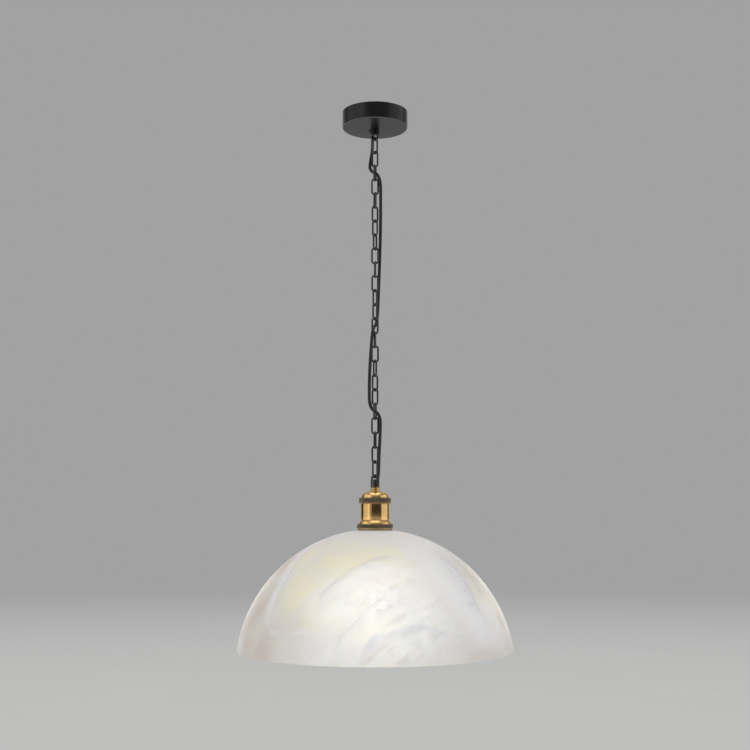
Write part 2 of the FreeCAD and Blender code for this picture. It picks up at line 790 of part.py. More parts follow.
def cable():
    """The cable, whole along its way through the chain, and parted where the chain's ends bend."""
    lane = (size("link_width") / 2 + cable_radius + size("cable_lane_gap")).number
    step = pitch.number
    rise = size("crossing_rise").number

    def beside(down, heading, radius=lane):
        angle = math.radians(heading)
        level = rose_eye_level.number - down * step
        return Vector(radius * math.cos(angle), radius * math.sin(angle), level)

    def crossing(number):
        entry_heading = link_heading(number).number + 90 * CROSSED_LINKS[number]
        middle = Vector(0, 0, link_level(number).number)
        angle = math.radians(entry_heading)
        reach = Vector(lane * math.cos(angle), lane * math.sin(angle), rise)
        return [middle + reach, middle - reach]

    upper, middle, lower = CROSSED_LINKS
    tail_end = floor_level - size("bush_tail")
    points = [Vector(bush_x.number, bush_y.number, level.number) for level in (sheath_level, tail_end)]
    points += [beside(down, heading) for down, heading in UPPER_TAIL]
    points += crossing(upper)
    points += [beside(down, heading) for down, heading in RIGHT_RUN]
    points += crossing(middle)
    points += [beside(down, heading) for down, heading in LEFT_RUN]
    points += crossing(lower)
    points += [beside(down, heading) for down, heading in LOWER_TAIL]
    entry_heading = size("lamp_loop_heading").number - 90
    corner = neck_level.number - size("entry_drop").number
    entry_rise = size("entry_reach").number / math.tan(math.radians(ENTRY_SLANT))
    down = (rose_eye_level.number - corner - entry_rise) / step
    points.append(beside(down, entry_heading, size("entry_reach").number))
    points.append(Vector(0, 0, corner))
    stem_bottom = cap_level - size("cap_wall") - size("nut_height") - size("thread_tail")
    points.append(Vector(0, 0, (stem_bottom - size("sheath_inside")).number))
    radii = {1: size("bush_bend").number, len(points) - 2: size("entry_bend").number}
    runs = route_edges(points, radii)
    # Every bend has two runs, so these part the cable halfway between two bends
    upper_end = 2 * UPPER_BENDS + 1
    lower_start = len(runs) - 2 * LOWER_BENDS - 1
    diameter = size("cable_diameter").number
    return [
        tube_along("cable_upper", runs[:upper_end], diameter),
        tube_along("cable_run", runs[upper_end:lower_start], diameter),
        tube_along("cable_lower", runs[lower_start:], diameter)]


def neck_collar():
    """A beaded collar between the loop and the cap."""
    radius = size("neck_radius")
    height = size("neck_height")
    bead = size("neck_bead")
    return turned("neck_collar", neck_level, [
        (threaded_hole, 0), (radius - bead, 0), (radius - bead, bead), (radius, bead * 2),
        (radius, height - bead), (radius - bead, height), (threaded_hole, height)])


def cap_nut():
    """The nut on the loop's stem inside the cap."""
    return hex_nut("cap_nut", cap_level - size("cap_wall") - size("nut_height"))


def holder_cap():
    """The domed cap of the holder with its wider band."""
    wall = size("cap_wall")
    boss = size("cap_boss_radius")
    boss_height = size("cap_boss_height")
    shoulder = spigot_radius
    bend = size("cap_shoulder_round")
    height = size("cap_height")
    edge = size("band_edge")
    bottom = height + size("band_height")
    inside = spigot_radius + size("spigot_play")
    band = inside + size("band_wall")
    return turned("holder_cap", cap_level, [
        (threaded_hole, 0), (boss - boss_height, 0, -boss_height), (boss, boss_height, bend),
        (shoulder, height - edge), (shoulder, height), (band - edge, height), (band, height + edge),
        (band, bottom - edge), (band - edge, bottom), (inside, bottom), (inside, height + wall),
        (shoulder - wall, height - edge, wall - bend), (boss, boss_height + wall), (boss - boss_height, wall),
        (threaded_hole, wall)])


def holder_shell():
    """The polished shell: a spigot inside the cap, the barrel and a threaded skirt through the glass."""
    spigot_height = size("spigot_height")
    barrel_end = spigot_height + size("shell_height")
    skirt_end = barrel_end + size("skirt_length")
    ledge = barrel_end - size("ledge_height")
    return turned("holder_shell", spigot_level, [
        (shell_inner_radius, 0), (spigot_radius, 0), (spigot_radius, spigot_height),
        (shell_radius, spigot_height), (shell_radius, barrel_end), (skirt_radius, barrel_end),
        (skirt_radius, skirt_end), (skirt_inner_radius, skirt_end), (skirt_inner_radius, ledge),
        (shell_inner_radius, ledge)])


def seat_ring():
    """The flared ring that the glass is clamped against."""
    height = size("seat_ring_height")
    flare = size("seat_ring_flare")
    edge = size("seat_ring_edge")
    outer = shell_radius + size("seat_ring_width")
    inside = skirt_radius + size("spigot_play")
    return turned("seat_ring", seat_level, [
        (inside, 0), (shell_radius + size("seat_ring_lip"), 0), (outer - edge, flare), (outer, flare + edge),
        (outer, height - edge), (outer - edge, height), (inside, height)])


def shade_gaskets():
    """A soft ring above the glass and one below it."""
    thickness = size("gasket_thickness")
    return group("shade_gaskets", [
        ring("upper_gasket", gasket_level, gasket_inner_radius, gasket_outer_radius, thickness),
        ring("lower_gasket", under_land_level, gasket_inner_radius, gasket_outer_radius, thickness)])


def glass_shade():
    """Part of a hollow sphere with a flat land round its hole and a rounded rim."""
    rim = size("shade_rim_radius")
    height = size("shade_height")
    wall = size("shade_wall")
    outer = (rim * rim + height * height) / (2 * height)
    inner = outer - wall
    land = gasket_outer_radius + size("shade_land_margin")
    hole = skirt_radius + size("shade_hole_play")
    land_rise = leg(outer, land)
    rim_rise = outer - height
    rim_depth = land_rise - rim_rise
    inner_rim = leg(inner, rim_rise)
    return turned("glass_shade", land_level, [
        (hole, 0), (land, 0, outer), (rim, rim_depth, size("shade_rim_round")),
        (inner_rim, rim_depth, -inner), (leg(inner, land_rise - wall), wall), (hole, wall)])


def clamp_ring():
    """The threaded ring under the glass, which holds the shade."""
    height = size("clamp_ring_height")
    edge = size("clamp_ring_edge")
    inside = skirt_radius + size("ring_play")
    outer = inside + size("clamp_ring_width")
    return turned("clamp_ring", clamp_level, [
        (inside, 0), (outer - edge, 0), (outer, edge), (outer, height - edge), (outer - edge, height),
        (inside, height)])


terminal_places = [size("terminal_offset") * side for side in (-1, 1)]


def socket_body():
    """The porcelain insert: it rests on the shell's ledge and lines the skirt."""
    outer = shell_inner_radius - size("socket_fit")
    sleeve = skirt_inner_radius - size("socket_fit")
    shoulder = size("socket_height")
    bottom = shoulder + size("socket_sleeve")
    floor = size("socket_floor")
    bore = socket_bore
    stem = size("contact_stem_radius") + size("screw_play")
    blank = turned("socket_blank", socket_level, [
        (stem, 0), (outer, 0), (outer, shoulder), (sleeve, shoulder), (sleeve, bottom), (bore, bottom),
        (bore, floor), (stem, floor)])
    depth = size("terminal_screw_depth")
    hole = size("terminal_screw_radius") + size("screw_play")
    holes = [cylinder(f"socket_hole_{index}", hole, socket_level - depth, depth, x)
             for index, x in enumerate(terminal_places)]
    return cut("socket_body", blank, holes)


def thread_outline(crest, root, top, turns):
    """The corners of a screw thread, taken as rings, from a top depth down."""
    step = size("screw_pitch") / 2
    return [(root if index % 2 else crest, top + step * index) for index in range(2 * turns + 1)]


def screw_shell():
    """The thin threaded metal shell in the socket, with a flange under the porcelain."""
    wall = size("screw_shell_wall")
    crest = size("screw_crest_radius")
    root = size("screw_root_radius")
    bottom = wall + SOCKET_THREAD_TURNS * size("screw_pitch") + size("screw_collar")
    inner = thread_outline(crest, root, wall, SOCKET_THREAD_TURNS)
    outer = thread_outline(crest + wall, root + wall, wall, SOCKET_THREAD_TURNS)
    flange = size("screw_flange_radius")
    return turned("screw_shell", socket_floor_level, (
        [(flange, 0), (crest + wall, 0)] + outer + [(crest + wall, bottom), (crest, bottom)] + inner[::-1]
        + [(flange, wall)]))


def centre_contact():
    """The contact button, riveted through the porcelain."""
    stem = size("contact_stem_radius")
    length = size("contact_stem_length")
    radius = size("contact_radius")
    bottom = length + size("contact_height")
    edge = stem / 2
    return turned("centre_contact", socket_floor_level + length, [
        (0, 0), (stem, 0), (stem, length), (radius, length), (radius, bottom - edge), (radius - edge, bottom),
        (0, bottom)])


def socket_screws():
    """The two terminal screws on top of the porcelain."""
    solids = []
    gap = size("core_diameter") + size("screw_play")
    depth = size("terminal_screw_depth") - size("screw_play")
    for index, x in enumerate(terminal_places):
        head = cylinder(f"terminal_head_{index}", size("terminal_head_radius"), socket_level + gap,
                        size("terminal_head_height"), x)
        shank = cylinder(f"terminal_shank_{index}", size("terminal_screw_radius"), socket_level - depth,
                         depth + gap, x)
        solids.append(fused(f"terminal_screw_{index}", [head, shank]))
    return group("socket_screws", solids)


def lamp_wires():
    """The wires in the holder: live and neutral under the terminal heads, earth on the cap's nut."""
    nut_bottom = cap_level - size("cap_wall") - size("nut_height")
    end_level = nut_bottom - size("thread_tail") - size("sheath_inside")
    middle = Vector(0, 0, end_level.number)
    half_play = size("screw_play").number / 2
    dip = Vector(0, 0, LAMP_WIRE_DIP * (socket_level - end_level).number)
    core = core_radius.number
    level = socket_level.number + core + half_play
    reach = size("terminal_offset").number
    clear = size("terminal_screw_radius").number + half_play + core
    diameter = size("core_diameter").number
    routes = {}
    for name, side, heading in (("lamp_live_wire", -1, 180), ("lamp_neutral_wire", 1, 60)):
        first = core_start(middle, heading)
        routes[name] = [
            first, first + dip, Vector(side * reach / 2, clear, level),
            Vector(side * (reach + 1.5 * core), clear, level)]
    first = core_start(middle, -60)
    nut_y = -size("thread_radius").number - 1.5 * core
    routes["lamp_earth_wire"] = [
        first, first + dip, Vector(core / 2, nut_y - core, middle.z - 2 * core), Vector(0, nut_y, middle.z),
        Vector(0, nut_y, nut_bottom.number - half_play)]
    return [cord(name, points, diameter) for name, points in routes.items()]


def bulb_contact():
    """The insulated contact at the tip of the bulb."""
    radius = size("bulb_tip_radius")
    height = size("bulb_tip_height")
    edge = height / 3
    return turned("bulb_contact", tip_level, [
        (0, 0), (radius - edge, 0), (radius, edge), (radius, height), (0, height)])


def bulb_cap():
    """The threaded metal cap of the bulb, closed at its top."""
    wall = size("bulb_cap_wall")
    length = bulb_cap_level - bulb_neck_level
    shoulder = bulb_cap_level - bulb_thread_level
    tip = size("bulb_tip_radius")
    inside = bulb_root - wall
    outer = thread_outline(bulb_crest, bulb_root, shoulder, BULB_THREAD_TURNS)
    inner = [(inside, length), (inside, shoulder + wall), (tip, wall), (0, wall)]
    return turned("bulb_cap", bulb_cap_level, [(0, 0), (tip, 0)] + outer + [(bulb_crest, length)] + inner)


def bulb_globe():
    """The frosted globe: a neck that flares into a sphere, open at the neck inside the cap."""
    wall = size("bulb_wall")
    neck = bulb_crest
    flare = size("bulb_neck_round")
    globe = size("bulb_radius")
    neck_end = size("bulb_neck_length")
    centre = neck_end + leg(globe + flare, neck + flare)
    share = globe / (globe + flare)
    inner_share = (globe - wall) / (globe + flare)
    rise = centre - neck_end
    return turned("bulb_globe", bulb_neck_level, [
        (neck - wall, 0), (neck, 0), (neck, neck_end, -flare),
        ((neck + flare) * share, centre - rise * share, globe), (globe, centre, globe), (0, centre + globe),
        (0, centre + globe - wall, wall - globe), (globe - wall, centre, wall - globe),
        ((neck + flare) * inner_share, centre - rise * inner_share, flare + wall), (neck - wall, neck_end)])


sub_parts = [
    ceiling_strap(), rose_cup(), rose_stud(), rose_nuts(), rose_loop(), cable_bush(), terminal_block(),
    terminal_screws(), earth_screw()]
sub_parts += rose_wires()
sub_parts += [chain_link(number) for number in range(1, LINK_COUNT + 1)]
sub_parts += cable()
sub_parts += [
    lamp_loop(), neck_collar(), cap_nut(), holder_cap(), holder_shell(), seat_ring(), shade_gaskets(),
    glass_shade(), clamp_ring(), socket_body(), screw_shell(), centre_contact(), socket_screws()]
sub_parts += lamp_wires()
sub_parts += [bulb_contact(), bulb_cap(), bulb_globe()]

doc.recompute()
for item in doc.Objects:
    if "Invalid" in item.State or "Error" in item.State:
        raise RuntimeError(f"{item.Name} failed: {item.State}")
for item in sub_parts:
    if item.Shape.isNull() or not item.Shape.isValid():
        raise RuntimeError(f"{item.Label} has no valid shape")

os.makedirs("parts", exist_ok=True)
for item in sub_parts:
    item.Shape.exportStep(f"parts/{item.Label}.step")
print(f"{len(sub_parts)} sub-parts written")
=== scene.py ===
import json
import math

import bpy
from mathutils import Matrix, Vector

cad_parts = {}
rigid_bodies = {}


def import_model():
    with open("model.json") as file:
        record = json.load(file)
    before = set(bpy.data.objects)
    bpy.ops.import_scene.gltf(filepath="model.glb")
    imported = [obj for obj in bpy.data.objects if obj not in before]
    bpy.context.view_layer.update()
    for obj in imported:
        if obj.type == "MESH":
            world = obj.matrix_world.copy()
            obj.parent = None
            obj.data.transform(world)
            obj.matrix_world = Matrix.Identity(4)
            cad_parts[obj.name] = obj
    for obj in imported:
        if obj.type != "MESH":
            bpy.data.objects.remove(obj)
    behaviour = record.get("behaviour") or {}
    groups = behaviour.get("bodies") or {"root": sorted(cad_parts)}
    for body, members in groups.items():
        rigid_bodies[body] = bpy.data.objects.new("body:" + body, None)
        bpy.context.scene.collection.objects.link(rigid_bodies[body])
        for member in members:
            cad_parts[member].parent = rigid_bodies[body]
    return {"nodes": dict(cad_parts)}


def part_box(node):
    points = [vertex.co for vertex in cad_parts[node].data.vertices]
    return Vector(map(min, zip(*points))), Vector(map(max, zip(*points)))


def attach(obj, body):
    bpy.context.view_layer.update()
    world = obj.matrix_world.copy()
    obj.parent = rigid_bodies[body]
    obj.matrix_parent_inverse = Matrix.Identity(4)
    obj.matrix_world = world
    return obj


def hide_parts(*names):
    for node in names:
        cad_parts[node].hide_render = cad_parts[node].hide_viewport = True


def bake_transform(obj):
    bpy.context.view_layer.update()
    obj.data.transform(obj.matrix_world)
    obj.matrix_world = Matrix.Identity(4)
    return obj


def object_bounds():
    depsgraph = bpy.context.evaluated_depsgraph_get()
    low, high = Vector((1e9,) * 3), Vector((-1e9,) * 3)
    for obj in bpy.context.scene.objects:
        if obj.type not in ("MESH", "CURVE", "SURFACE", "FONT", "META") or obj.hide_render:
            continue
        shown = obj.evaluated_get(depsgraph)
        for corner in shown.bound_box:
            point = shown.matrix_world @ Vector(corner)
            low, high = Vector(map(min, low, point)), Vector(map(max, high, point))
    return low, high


bl_info = {
    "name": "Glass pendant light",
    "version": (1, 0, 0),
    "blender": (4, 5, 0),
    "location": "View3D > Sidebar > Pendant",
    "description": "Dresses the solids of a glass pendant light with turned brass, swirled glass and cable",
    "category": "Object",
}

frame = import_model()
cad_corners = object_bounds()

MM = 0.001
FULL_TURN = 2 * math.pi
MERGE_DISTANCE = 1e-6
ORIGIN = Vector((0.0, 0.0, 0.0))
UP = Vector((0.0, 0.0, 1.0))

# Edges sharper than this stay sharp, on turned metal and on cords and glass
METAL_EDGE = math.radians(30)
SOFT_EDGE = math.radians(40)
# Steps of an arc in a turned outline, and of one turn of a thread
ARC_STEPS = 14
THREAD_STEPS = 40
# A cord's steps from one point of its route to the next, its roundness, and the order of its smooth line
CORD_STEPS = 14
CORD_ROUNDNESS = 6
CORD_ORDER = 3

# Turned brass pieces: corners of (radius, depth under the top), in millimetres, and a radius where an arc
# leads on to the next corner. A positive arc bulges to the left of the way round.
COLLAR_PROFILE = [(5.1, 0), (6.1, 0), (6.1, 0.8), (6.9, 1.6), (6.9, 3.7), (6.1, 4.5), (5.1, 4.5)]
CAP_PROFILE = [
    (5.1, 0), (8.3, 0, -1.2), (9.5, 1.2, 10.5), (20.9, 9.7), (20.9, 10.5), (23.1, 10.5), (23.5, 10.9),
    (23.5, 18.4), (23.1, 18.8), (21.05, 18.8), (21.05, 11.9), (19.5, 9.7, -9.1), (9.5, 2.6), (8.3, 1.4),
    (5.1, 1.4)]
SHELL_PROFILE = [
    (19.6, 0), (20.9, 0), (20.9, 7.2), (21.35, 7.2), (21.75, 7.6), (21.75, 30.4), (21.35, 30.8),
    (19.6, 30.8), (19.6, 61.0), (17.4, 61.0), (17.4, 28.0), (19.6, 28.0)]
SEAT_PROFILE = [
    (19.75, 0), (22.2, 0), (24.7, 4.4), (24.7, 5.0), (26.0, 5.0), (26.4, 5.4), (26.4, 11.4), (26.0, 11.8),
    (25.6, 11.8), (25.6, 12.6), (25.2, 13.0), (19.75, 13.0)]
CLAMP_PROFILE = [(19.9, 0), (24.6, 0), (25.6, 1.0), (25.6, 7.0), (24.6, 8.0), (19.9, 8.0)]

# The cable's route, in millimetres: out of the bush, down the chain, through three links and into the loop
CABLE_ROUTE = [
    (-3.6, 13.5, -16.3), (-3.6, 13.5, -31.4), (-3.8, 7.9, -56.9), (-7.3, 4.8, -76.2), (-8.4, 2.4, -91.2),
    (8.4, -2.4, -99.8), (8.7, -0.3, -140.7), (8.4, 2.6, -185.9), (7.2, 5.0, -231.0), (5.5, 6.8, -276.2),
    (3.4, 8.1, -327.7), (-3.4, -8.1, -336.3), (-5.7, -6.6, -364.3), (-7.7, -4.2, -394.4),
    (-8.7, -0.9, -424.5), (-8.3, 2.8, -456.7), (8.3, -2.8, -465.3), (7.6, -4.4, -497.6),
    (6.0, -6.4, -525.6), (4.9, -11.0, -561.2), (0.0, 0.0, -575.5), (0.0, 0.0, -587.9)]

# The stripped wires in the rose, in millimetres, from the cable's end to their terminals
ROSE_WIRES = {
    "live": [
        (-4.9, 13.5, -16.3), (-4.9, 13.5, -13.7), (-14.1, 9.0, -12.5), (-14.1, -7.0, -13.5),
        (-9.0, -14.0, -14.0), (-9.0, -20.5, -14.0)],
    "neutral": [
        (-3.0, 14.6, -16.3), (-3.0, 14.6, -13.7), (9.0, 14.0, -13.0), (20.1, 2.0, -14.0),
        (9.0, -13.0, -14.0), (9.0, -20.5, -14.0)],
    "earth": [(-3.0, 12.4, -16.3), (-3.0, 12.4, -13.7), (12.1, 9.0, -10.0), (12.1, 2.1, -10.0)],
}

# Streaks in the glass: three spots of (heading in degrees, depth under the land in millimetres), and how far
# the streak reaches to each side of its line and along it from its middle, in millimetres
MILK_STREAKS = [
    ([(-42, 24), (-48, 80), (-38, 131)], 34, 160),
    ([(-112, 96), (-97, 92), (-80, 84)], 34, 90),
    ([(-94, 157), (-80, 126), (-60, 127)], 13, 100),
    ([(20, 30), (45, 70), (38, 140)], 26, 130),
    ([(95, 25), (110, 80), (150, 130)], 34, 150),
    ([(60, 155), (90, 140), (130, 158)], 14, 120),
    ([(172, 60), (150, 92), (120, 96)], 12, 100),
]
# Folds: a thin lilac line, and a milky sheet on the left of its way, seen from outside, that fades away from
# it. The last number is the sheet's reach in millimetres.
FOLD_STREAKS = [
    ([(-79, 38), (-107, 53), (-115, 107)], 3.4, 95, 46),
    ([(-62, 130), (-81, 129), (-95, 160)], 4.0, 95, 40),
    ([(-80, 73), (-94, 105), (-103, 135)], 2.7, 70, 12),
    ([(-73, 87), (-83, 96), (-89, 108)], 2.0, 38, 10),
    ([(-74, 78), (-87, 103), (-96, 128)], 1.6, 50, 8),
    ([(-68, 94), (-79, 111), (-88, 128)], 1.6, 46, 8),
    ([(-141, 105), (-148, 53), (-158, 24)], 2.4, 105, 26),
    ([(-37, 118), (-36, 70), (-41, 26)], 4.2, 85, 52),
    ([(74, 70), (52, 66), (30, 40)], 3.0, 85, 36),
    ([(126, 140), (128, 96), (118, 60)], 3.3, 90, 40),
    ([(84, 110), (96, 92), (112, 90)], 2.1, 60, 14),
    ([(-172, 96), (172, 104), (160, 130)], 2.7, 70, 30),
    ([(20, 150), (34, 128), (60, 124)], 2.7, 85, 30),
    ([(-10, 90), (2, 60), (24, 52)], 2.4, 70, 26),
]
# Clouds in the glass: a spot of (heading, depth) and its reach in millimetres
GOLD_PATCHES = [
    ((-112, 42), 92), ((-142, 38), 50), ((-114, 100), 46), ((-126, 74), 66), ((-88, 34), 60),
    ((-88, 126), 40), ((62, 90), 74), ((140, 56), 70), ((100, 30), 64)]
# Smoky clouds. The three towards the left edge, seen from the front, are also painted shade that darkens that
# side.
SMOKE_AND_SHADE_PATCHES = [
    ((-27, 66), 70), ((-33, 40), 58), ((-157, 104), 84), ((-165, 50), 70), ((-146, 162), 84),
    ((-36, 166), 70), ((-14, 126), 110), ((104, 152), 70), ((40, 150), 60)]
WHITE_PATCHES = [
    ((-92, 98), 76), ((-82, 86), 70), ((-66, 108), 64), ((-60, 134), 56), ((-78, 150), 56),
    ((-108, 158), 52), ((70, 120), 80), ((160, 84), 76), ((-4, 124), 70)]
# Spots of a painted glow in the glass, standing in for the bulb's light scattered in it: a spot of (heading,
# depth) and its reach in millimetres
PAINTED_GLOW_PATCHES = [((-89, 113), 146), ((88, 104), 160), ((-10, 100), 90), ((178, 100), 90)]

# How the glass was stirred: scale and detail of a noise, and how far it pushes along each axis, in radii
FLOW = (2.6, 3.0, (0.11, 0.11, 0.09))
RIPPLE = (5.0, 1.0, (0.032, 0.032, 0.032))
# Strands drawn out in the glass: length and width of a cell in radii, detail and roughness of the noise, and
# the slope that they run at
WISPS = (0.32, 0.10, 6.0, 0.62)
CREASES = (0.20, 0.028, 4.5, 0.6)
STRAND_SLOPE = math.radians(-40.0)
# Scale, detail and roughness of the noise that makes smoky clouds and that breaks the folds' lines
CLOUDS = (2.2, 4.0, 0.55)
BREAKS = (7.0, 3.0, 0.5)
# Scale and detail of the noise that makes thin milky threads, and how wide they are in its values
THREADS = (3.2, 1.5, 0.05)
NOISE_MIDDLE = 0.5
# Share of a streak's reach that is full before its ends fade
STREAK_CORE = 0.35
# How much of an effect shows: from one value of a noise to another, and the share at each
GOLD_SHARE = (0.34, 0.64, 0.25, 1.0)
SMOKE_SHARE = (0.34, 0.64, 0.42, 0.95)
CLOUD_SHARE = (0.45, 0.78, 0.0, 0.35)
MILK_SHARE = (0.3, 0.62, 0.55, 1.0)
VEIN_SHARE = (0.30, 0.60, 0.35, 0.72)
THREAD_SHARE = (0.42, 0.66, 0.0, 0.5)
CREASE_SHARE = (0.38, 0.78, 0.0, 1.0)
SHEET_SHARE = (0.1, 0.9, 0.10, 0.80)
GLASS_ROUGHNESS = (0.3, 0.7, 0.44, 0.58)
GLASS_IOR = 1.45
# Red light scatters furthest in the glass
SCATTER_TINT = (1.0, 0.86, 0.70)

# Fine grain and soft clouds of the other finishes: detail and roughness of the noise, and the values of it
# between which they come out
GRAIN_NOISE = (4.0, 0.6)
GRAIN_SPAN = (0.3, 0.7)
CLOUD_NOISE = (5.0, 0.6)
CLOUD_SPAN = (0.42, 0.72)
# How deep the grain is at a relief of one, in metres
RELIEF_DEPTH = 0.0004
# Plain values of the shader that metals and plastics share
METAL = {"Metallic": 1.0}
PLASTIC = {"IOR": 1.5}
# Finishes: colour, colour of the clouds, stretch of the grain along the axes, least and most roughness,
# relief, scale of the clouds, and plain values of the shader
FINISHES = {
    "black_enamel": (
        (0.010, 0.010, 0.011), (0.020, 0.020, 0.022), (9.0, 9.0, 1500.0), (0.22, 0.32), 0.10, 18.0,
        {"Specular IOR Level": 0.26}),
    "zinc_steel": (
        (0.60, 0.61, 0.62), (0.44, 0.46, 0.48), (900.0,) * 3, (0.26, 0.42), 0.08, 160.0, METAL),
    "terminal_brass": (
        (0.70, 0.50, 0.20), (0.50, 0.34, 0.13), (1200.0,) * 3, (0.24, 0.38), 0.06, 300.0, METAL),
    "terminal_plastic": (
        (0.80, 0.77, 0.70), (0.74, 0.70, 0.62), (1800.0,) * 3, (0.28, 0.4), 0.06, 90.0, PLASTIC),
    "black_nylon": ((0.014,) * 3, (0.022,) * 3, (1800.0,) * 3, (0.42, 0.56), 0.06, 90.0, PLASTIC),
    "gasket_rubber": ((0.028,) * 3, (0.04,) * 3, (1800.0,) * 3, (0.55, 0.7), 0.06, 90.0, PLASTIC),
    "chain_metal": (
        (0.050, 0.047, 0.050), (0.12, 0.112, 0.116), (700.0, 700.0, 300.0), (0.13, 0.24), 0.08, 95.0,
        {"Metallic": 1.0, "Coat Weight": 0.6, "Coat Roughness": 0.12}),
    "loop_metal": (
        (0.105, 0.092, 0.100), (0.060, 0.052, 0.058), (1100.0,) * 3, (0.34, 0.48), 0.22, 120.0,
        {"Metallic": 0.85}),
    "porcelain": (
        (0.84, 0.82, 0.78), (0.78, 0.75, 0.69), (300.0,) * 3, (0.12, 0.24), 0.05, 60.0,
        {"Coat Weight": 0.5, "Coat Roughness": 0.08}),
    "bulb_metal": (
        (0.74, 0.74, 0.75), (0.60, 0.60, 0.62), (60.0, 60.0, 1800.0), (0.22, 0.34), 0.06, 140.0, METAL),
    "bulb_tip": ((0.42, 0.42, 0.42), (0.30, 0.30, 0.31), (900.0,) * 3, (0.3, 0.45), 0.1, 400.0, METAL),
}
# Shares of the rose's rounded edge across which a painted highlight lies, a lighter grey in the paint
EDGE_SHEEN_SPAN = (0.3, 0.75)

# Softboxes: place, width and height in metres, and the setting that holds the power
SOFTBOXES = {
    "key_softbox": ((-2.3, -0.7, 0.1), (2.9, 3.2), "key_power"),
    "side_softbox": ((2.3, -0.3, -0.1), (2.9, 2.6), "side_power"),
    "fill_softbox": ((-1.75, -1.95, 0.0), (1.5, 3.0), "fill_power"),
    "top_softbox": ((0.0, -0.3, 2.2), (2.5, 2.5), "top_power"),
}
# Directions, as height or depth of a unit arrow, between which the room brightens upwards and to the back
CEILING_SPAN = (0.1, 0.8)
BACK_SPAN = (0.5, 0.9)
# The round floor, and the distances between which it fades into the backdrop, in metres
FLOOR_RADIUS = 40.0
FLOOR_SIDES = 96
FLOOR_FADE = (9.0, 30.0)
# Width of the camera's sensor in millimetres
SENSOR_WIDTH = 36.0


def length(name, description, default):
    """A length that a user may change."""
    return bpy.props.FloatProperty(name=name, description=description, default=default, unit="LENGTH")


def power(name, description, default):
    """The power of a light."""
    return bpy.props.FloatProperty(name=name, description=description, default=default, unit="POWER")


def count(name, description, default, least):
    """A number of steps or rows."""
    return bpy.props.IntProperty(name=name, description=description, default=default, min=least)


def share(name, description, default):
    """A share between none and all."""
    return bpy.props.FloatProperty(
        name=name, description=description, default=default, min=0.0, max=1.0, subtype="FACTOR")


def colour(name, description, default):
    """A colour that a user may change."""
    return bpy.props.FloatVectorProperty(
        name=name, description=description, default=default, min=0.0, max=1.0, size=3, subtype="COLOR")


class PendantGlass(bpy.types.PropertyGroup):
    """Sizes and colours of the glass shade."""

    rim_radius: length("Rim radius", "Outer radius of the open rim", 0.2)
    dome_height: length("Dome height", "Height of the whole sphere cap above the rim", 0.1728)
    wall: length("Wall", "Thickness of the glass", 0.004)
    land_radius: length("Land radius", "Radius of the flat land round the hole", 0.028)
    hole_radius: length("Hole radius", "Radius of the hole for the lamp holder", 0.0209)
    cream: colour("Cream", "Body of the glass", (0.865, 0.853, 0.824))
    gold: colour("Gold", "Clear warm clouds in the glass", (0.93, 0.885, 0.705))
    # Darker clouds in the glass, also used as painted shade on the left side
    smoke_and_shade: colour("Smoke", "Darker clouds in the glass", (0.72, 0.655, 0.60))
    milk: colour("Milk", "Dense cool streaks in the glass", (0.955, 0.96, 0.97))
    vein: colour("Vein", "Thin lilac lines at the edge of a sheet", (0.70, 0.71, 0.765))
    crease: colour("Crease", "Grey creases in a sheet", (0.71, 0.70, 0.69))
    clearness: share("Clearness", "How much of the light goes straight through", 0.36)
    scatter: length("Scatter", "How far light spreads in the glass", 0.0018)
    # Painted glow: colour painted into the glass's emission, strongest at its glow spots and faint elsewhere,
    # standing in for the bulb's light
    painted_glow: share("Glow", "Light that the glass scatters where it is lit most", 0.305)
    painted_glow_full: colour("Full glow", "Tint of the scattered light where it is strongest", (1.0, 0.985, 0.90))
    painted_glow_faint: colour("Faint glow", "Tint of the scattered light far from the bulb", (0.34, 0.34, 0.36))


class PendantBrass(bpy.types.PropertyGroup):
    """Sizes and colours of the turned brass."""

    columns: count("Columns", "Steps round a turned piece, an even number", 192, 32)
    knurl_rows: count("Knurl rows", "Rows of knurling across a band", 8, 4)
    knurl_depth: length("Knurl depth", "Depth of the cuts between the knurls", 0.0004)
    edge_round: length("Edge round", "Rounding of the turned edges", 0.0002)
    bright: colour("Bright", "Polished brass", (0.80, 0.51, 0.21))
    tarnish: colour("Tarnish", "Darkened brass", (0.30, 0.19, 0.08))
    rubbed: colour("Rubbed", "Tips of the knurls", (0.36, 0.29, 0.19))
    tip_share: share("Tip share", "How far the tips of the knurls are rubbed", 0.7)
    aged: colour("Aged", "Antiqued knurled bands", (0.085, 0.073, 0.053))


class PendantCable(bpy.types.PropertyGroup):
    """Sizes and colours of the supply cable and its wires."""

    diameter: length("Diameter", "Outer diameter of the cable", 0.0048)
    core_diameter: length("Core diameter", "Diameter of an insulated wire", 0.002)
    sheath: colour("Sheath", "Colour of the cable", (0.012, 0.0115, 0.0135))
    live: colour("Live", "Colour of the live wire", (0.20, 0.08, 0.03))
    neutral: colour("Neutral", "Colour of the neutral wire", (0.02, 0.09, 0.42))
    earth: colour("Earth", "Colour of the earth wire", (0.10, 0.38, 0.05))


class PendantBulb(bpy.types.PropertyGroup):
    """The light of the bulb."""

    frost: colour("Frost", "Colour of the frosted glass", (0.9, 0.88, 0.84))
    warm: colour("Warm", "Colour of the lit bulb", (1.0, 0.92, 0.77))
    strength: bpy.props.FloatProperty(
        name="Strength", description="Brightness of the bulb's lower end", default=2.2, min=0.0)
    neck_share: share("Neck share", "Brightness of the neck as a share of the lower end's", 0.22)
    neck_depth: length("Neck depth", "How far under its top the globe is dimmest", 0.035)


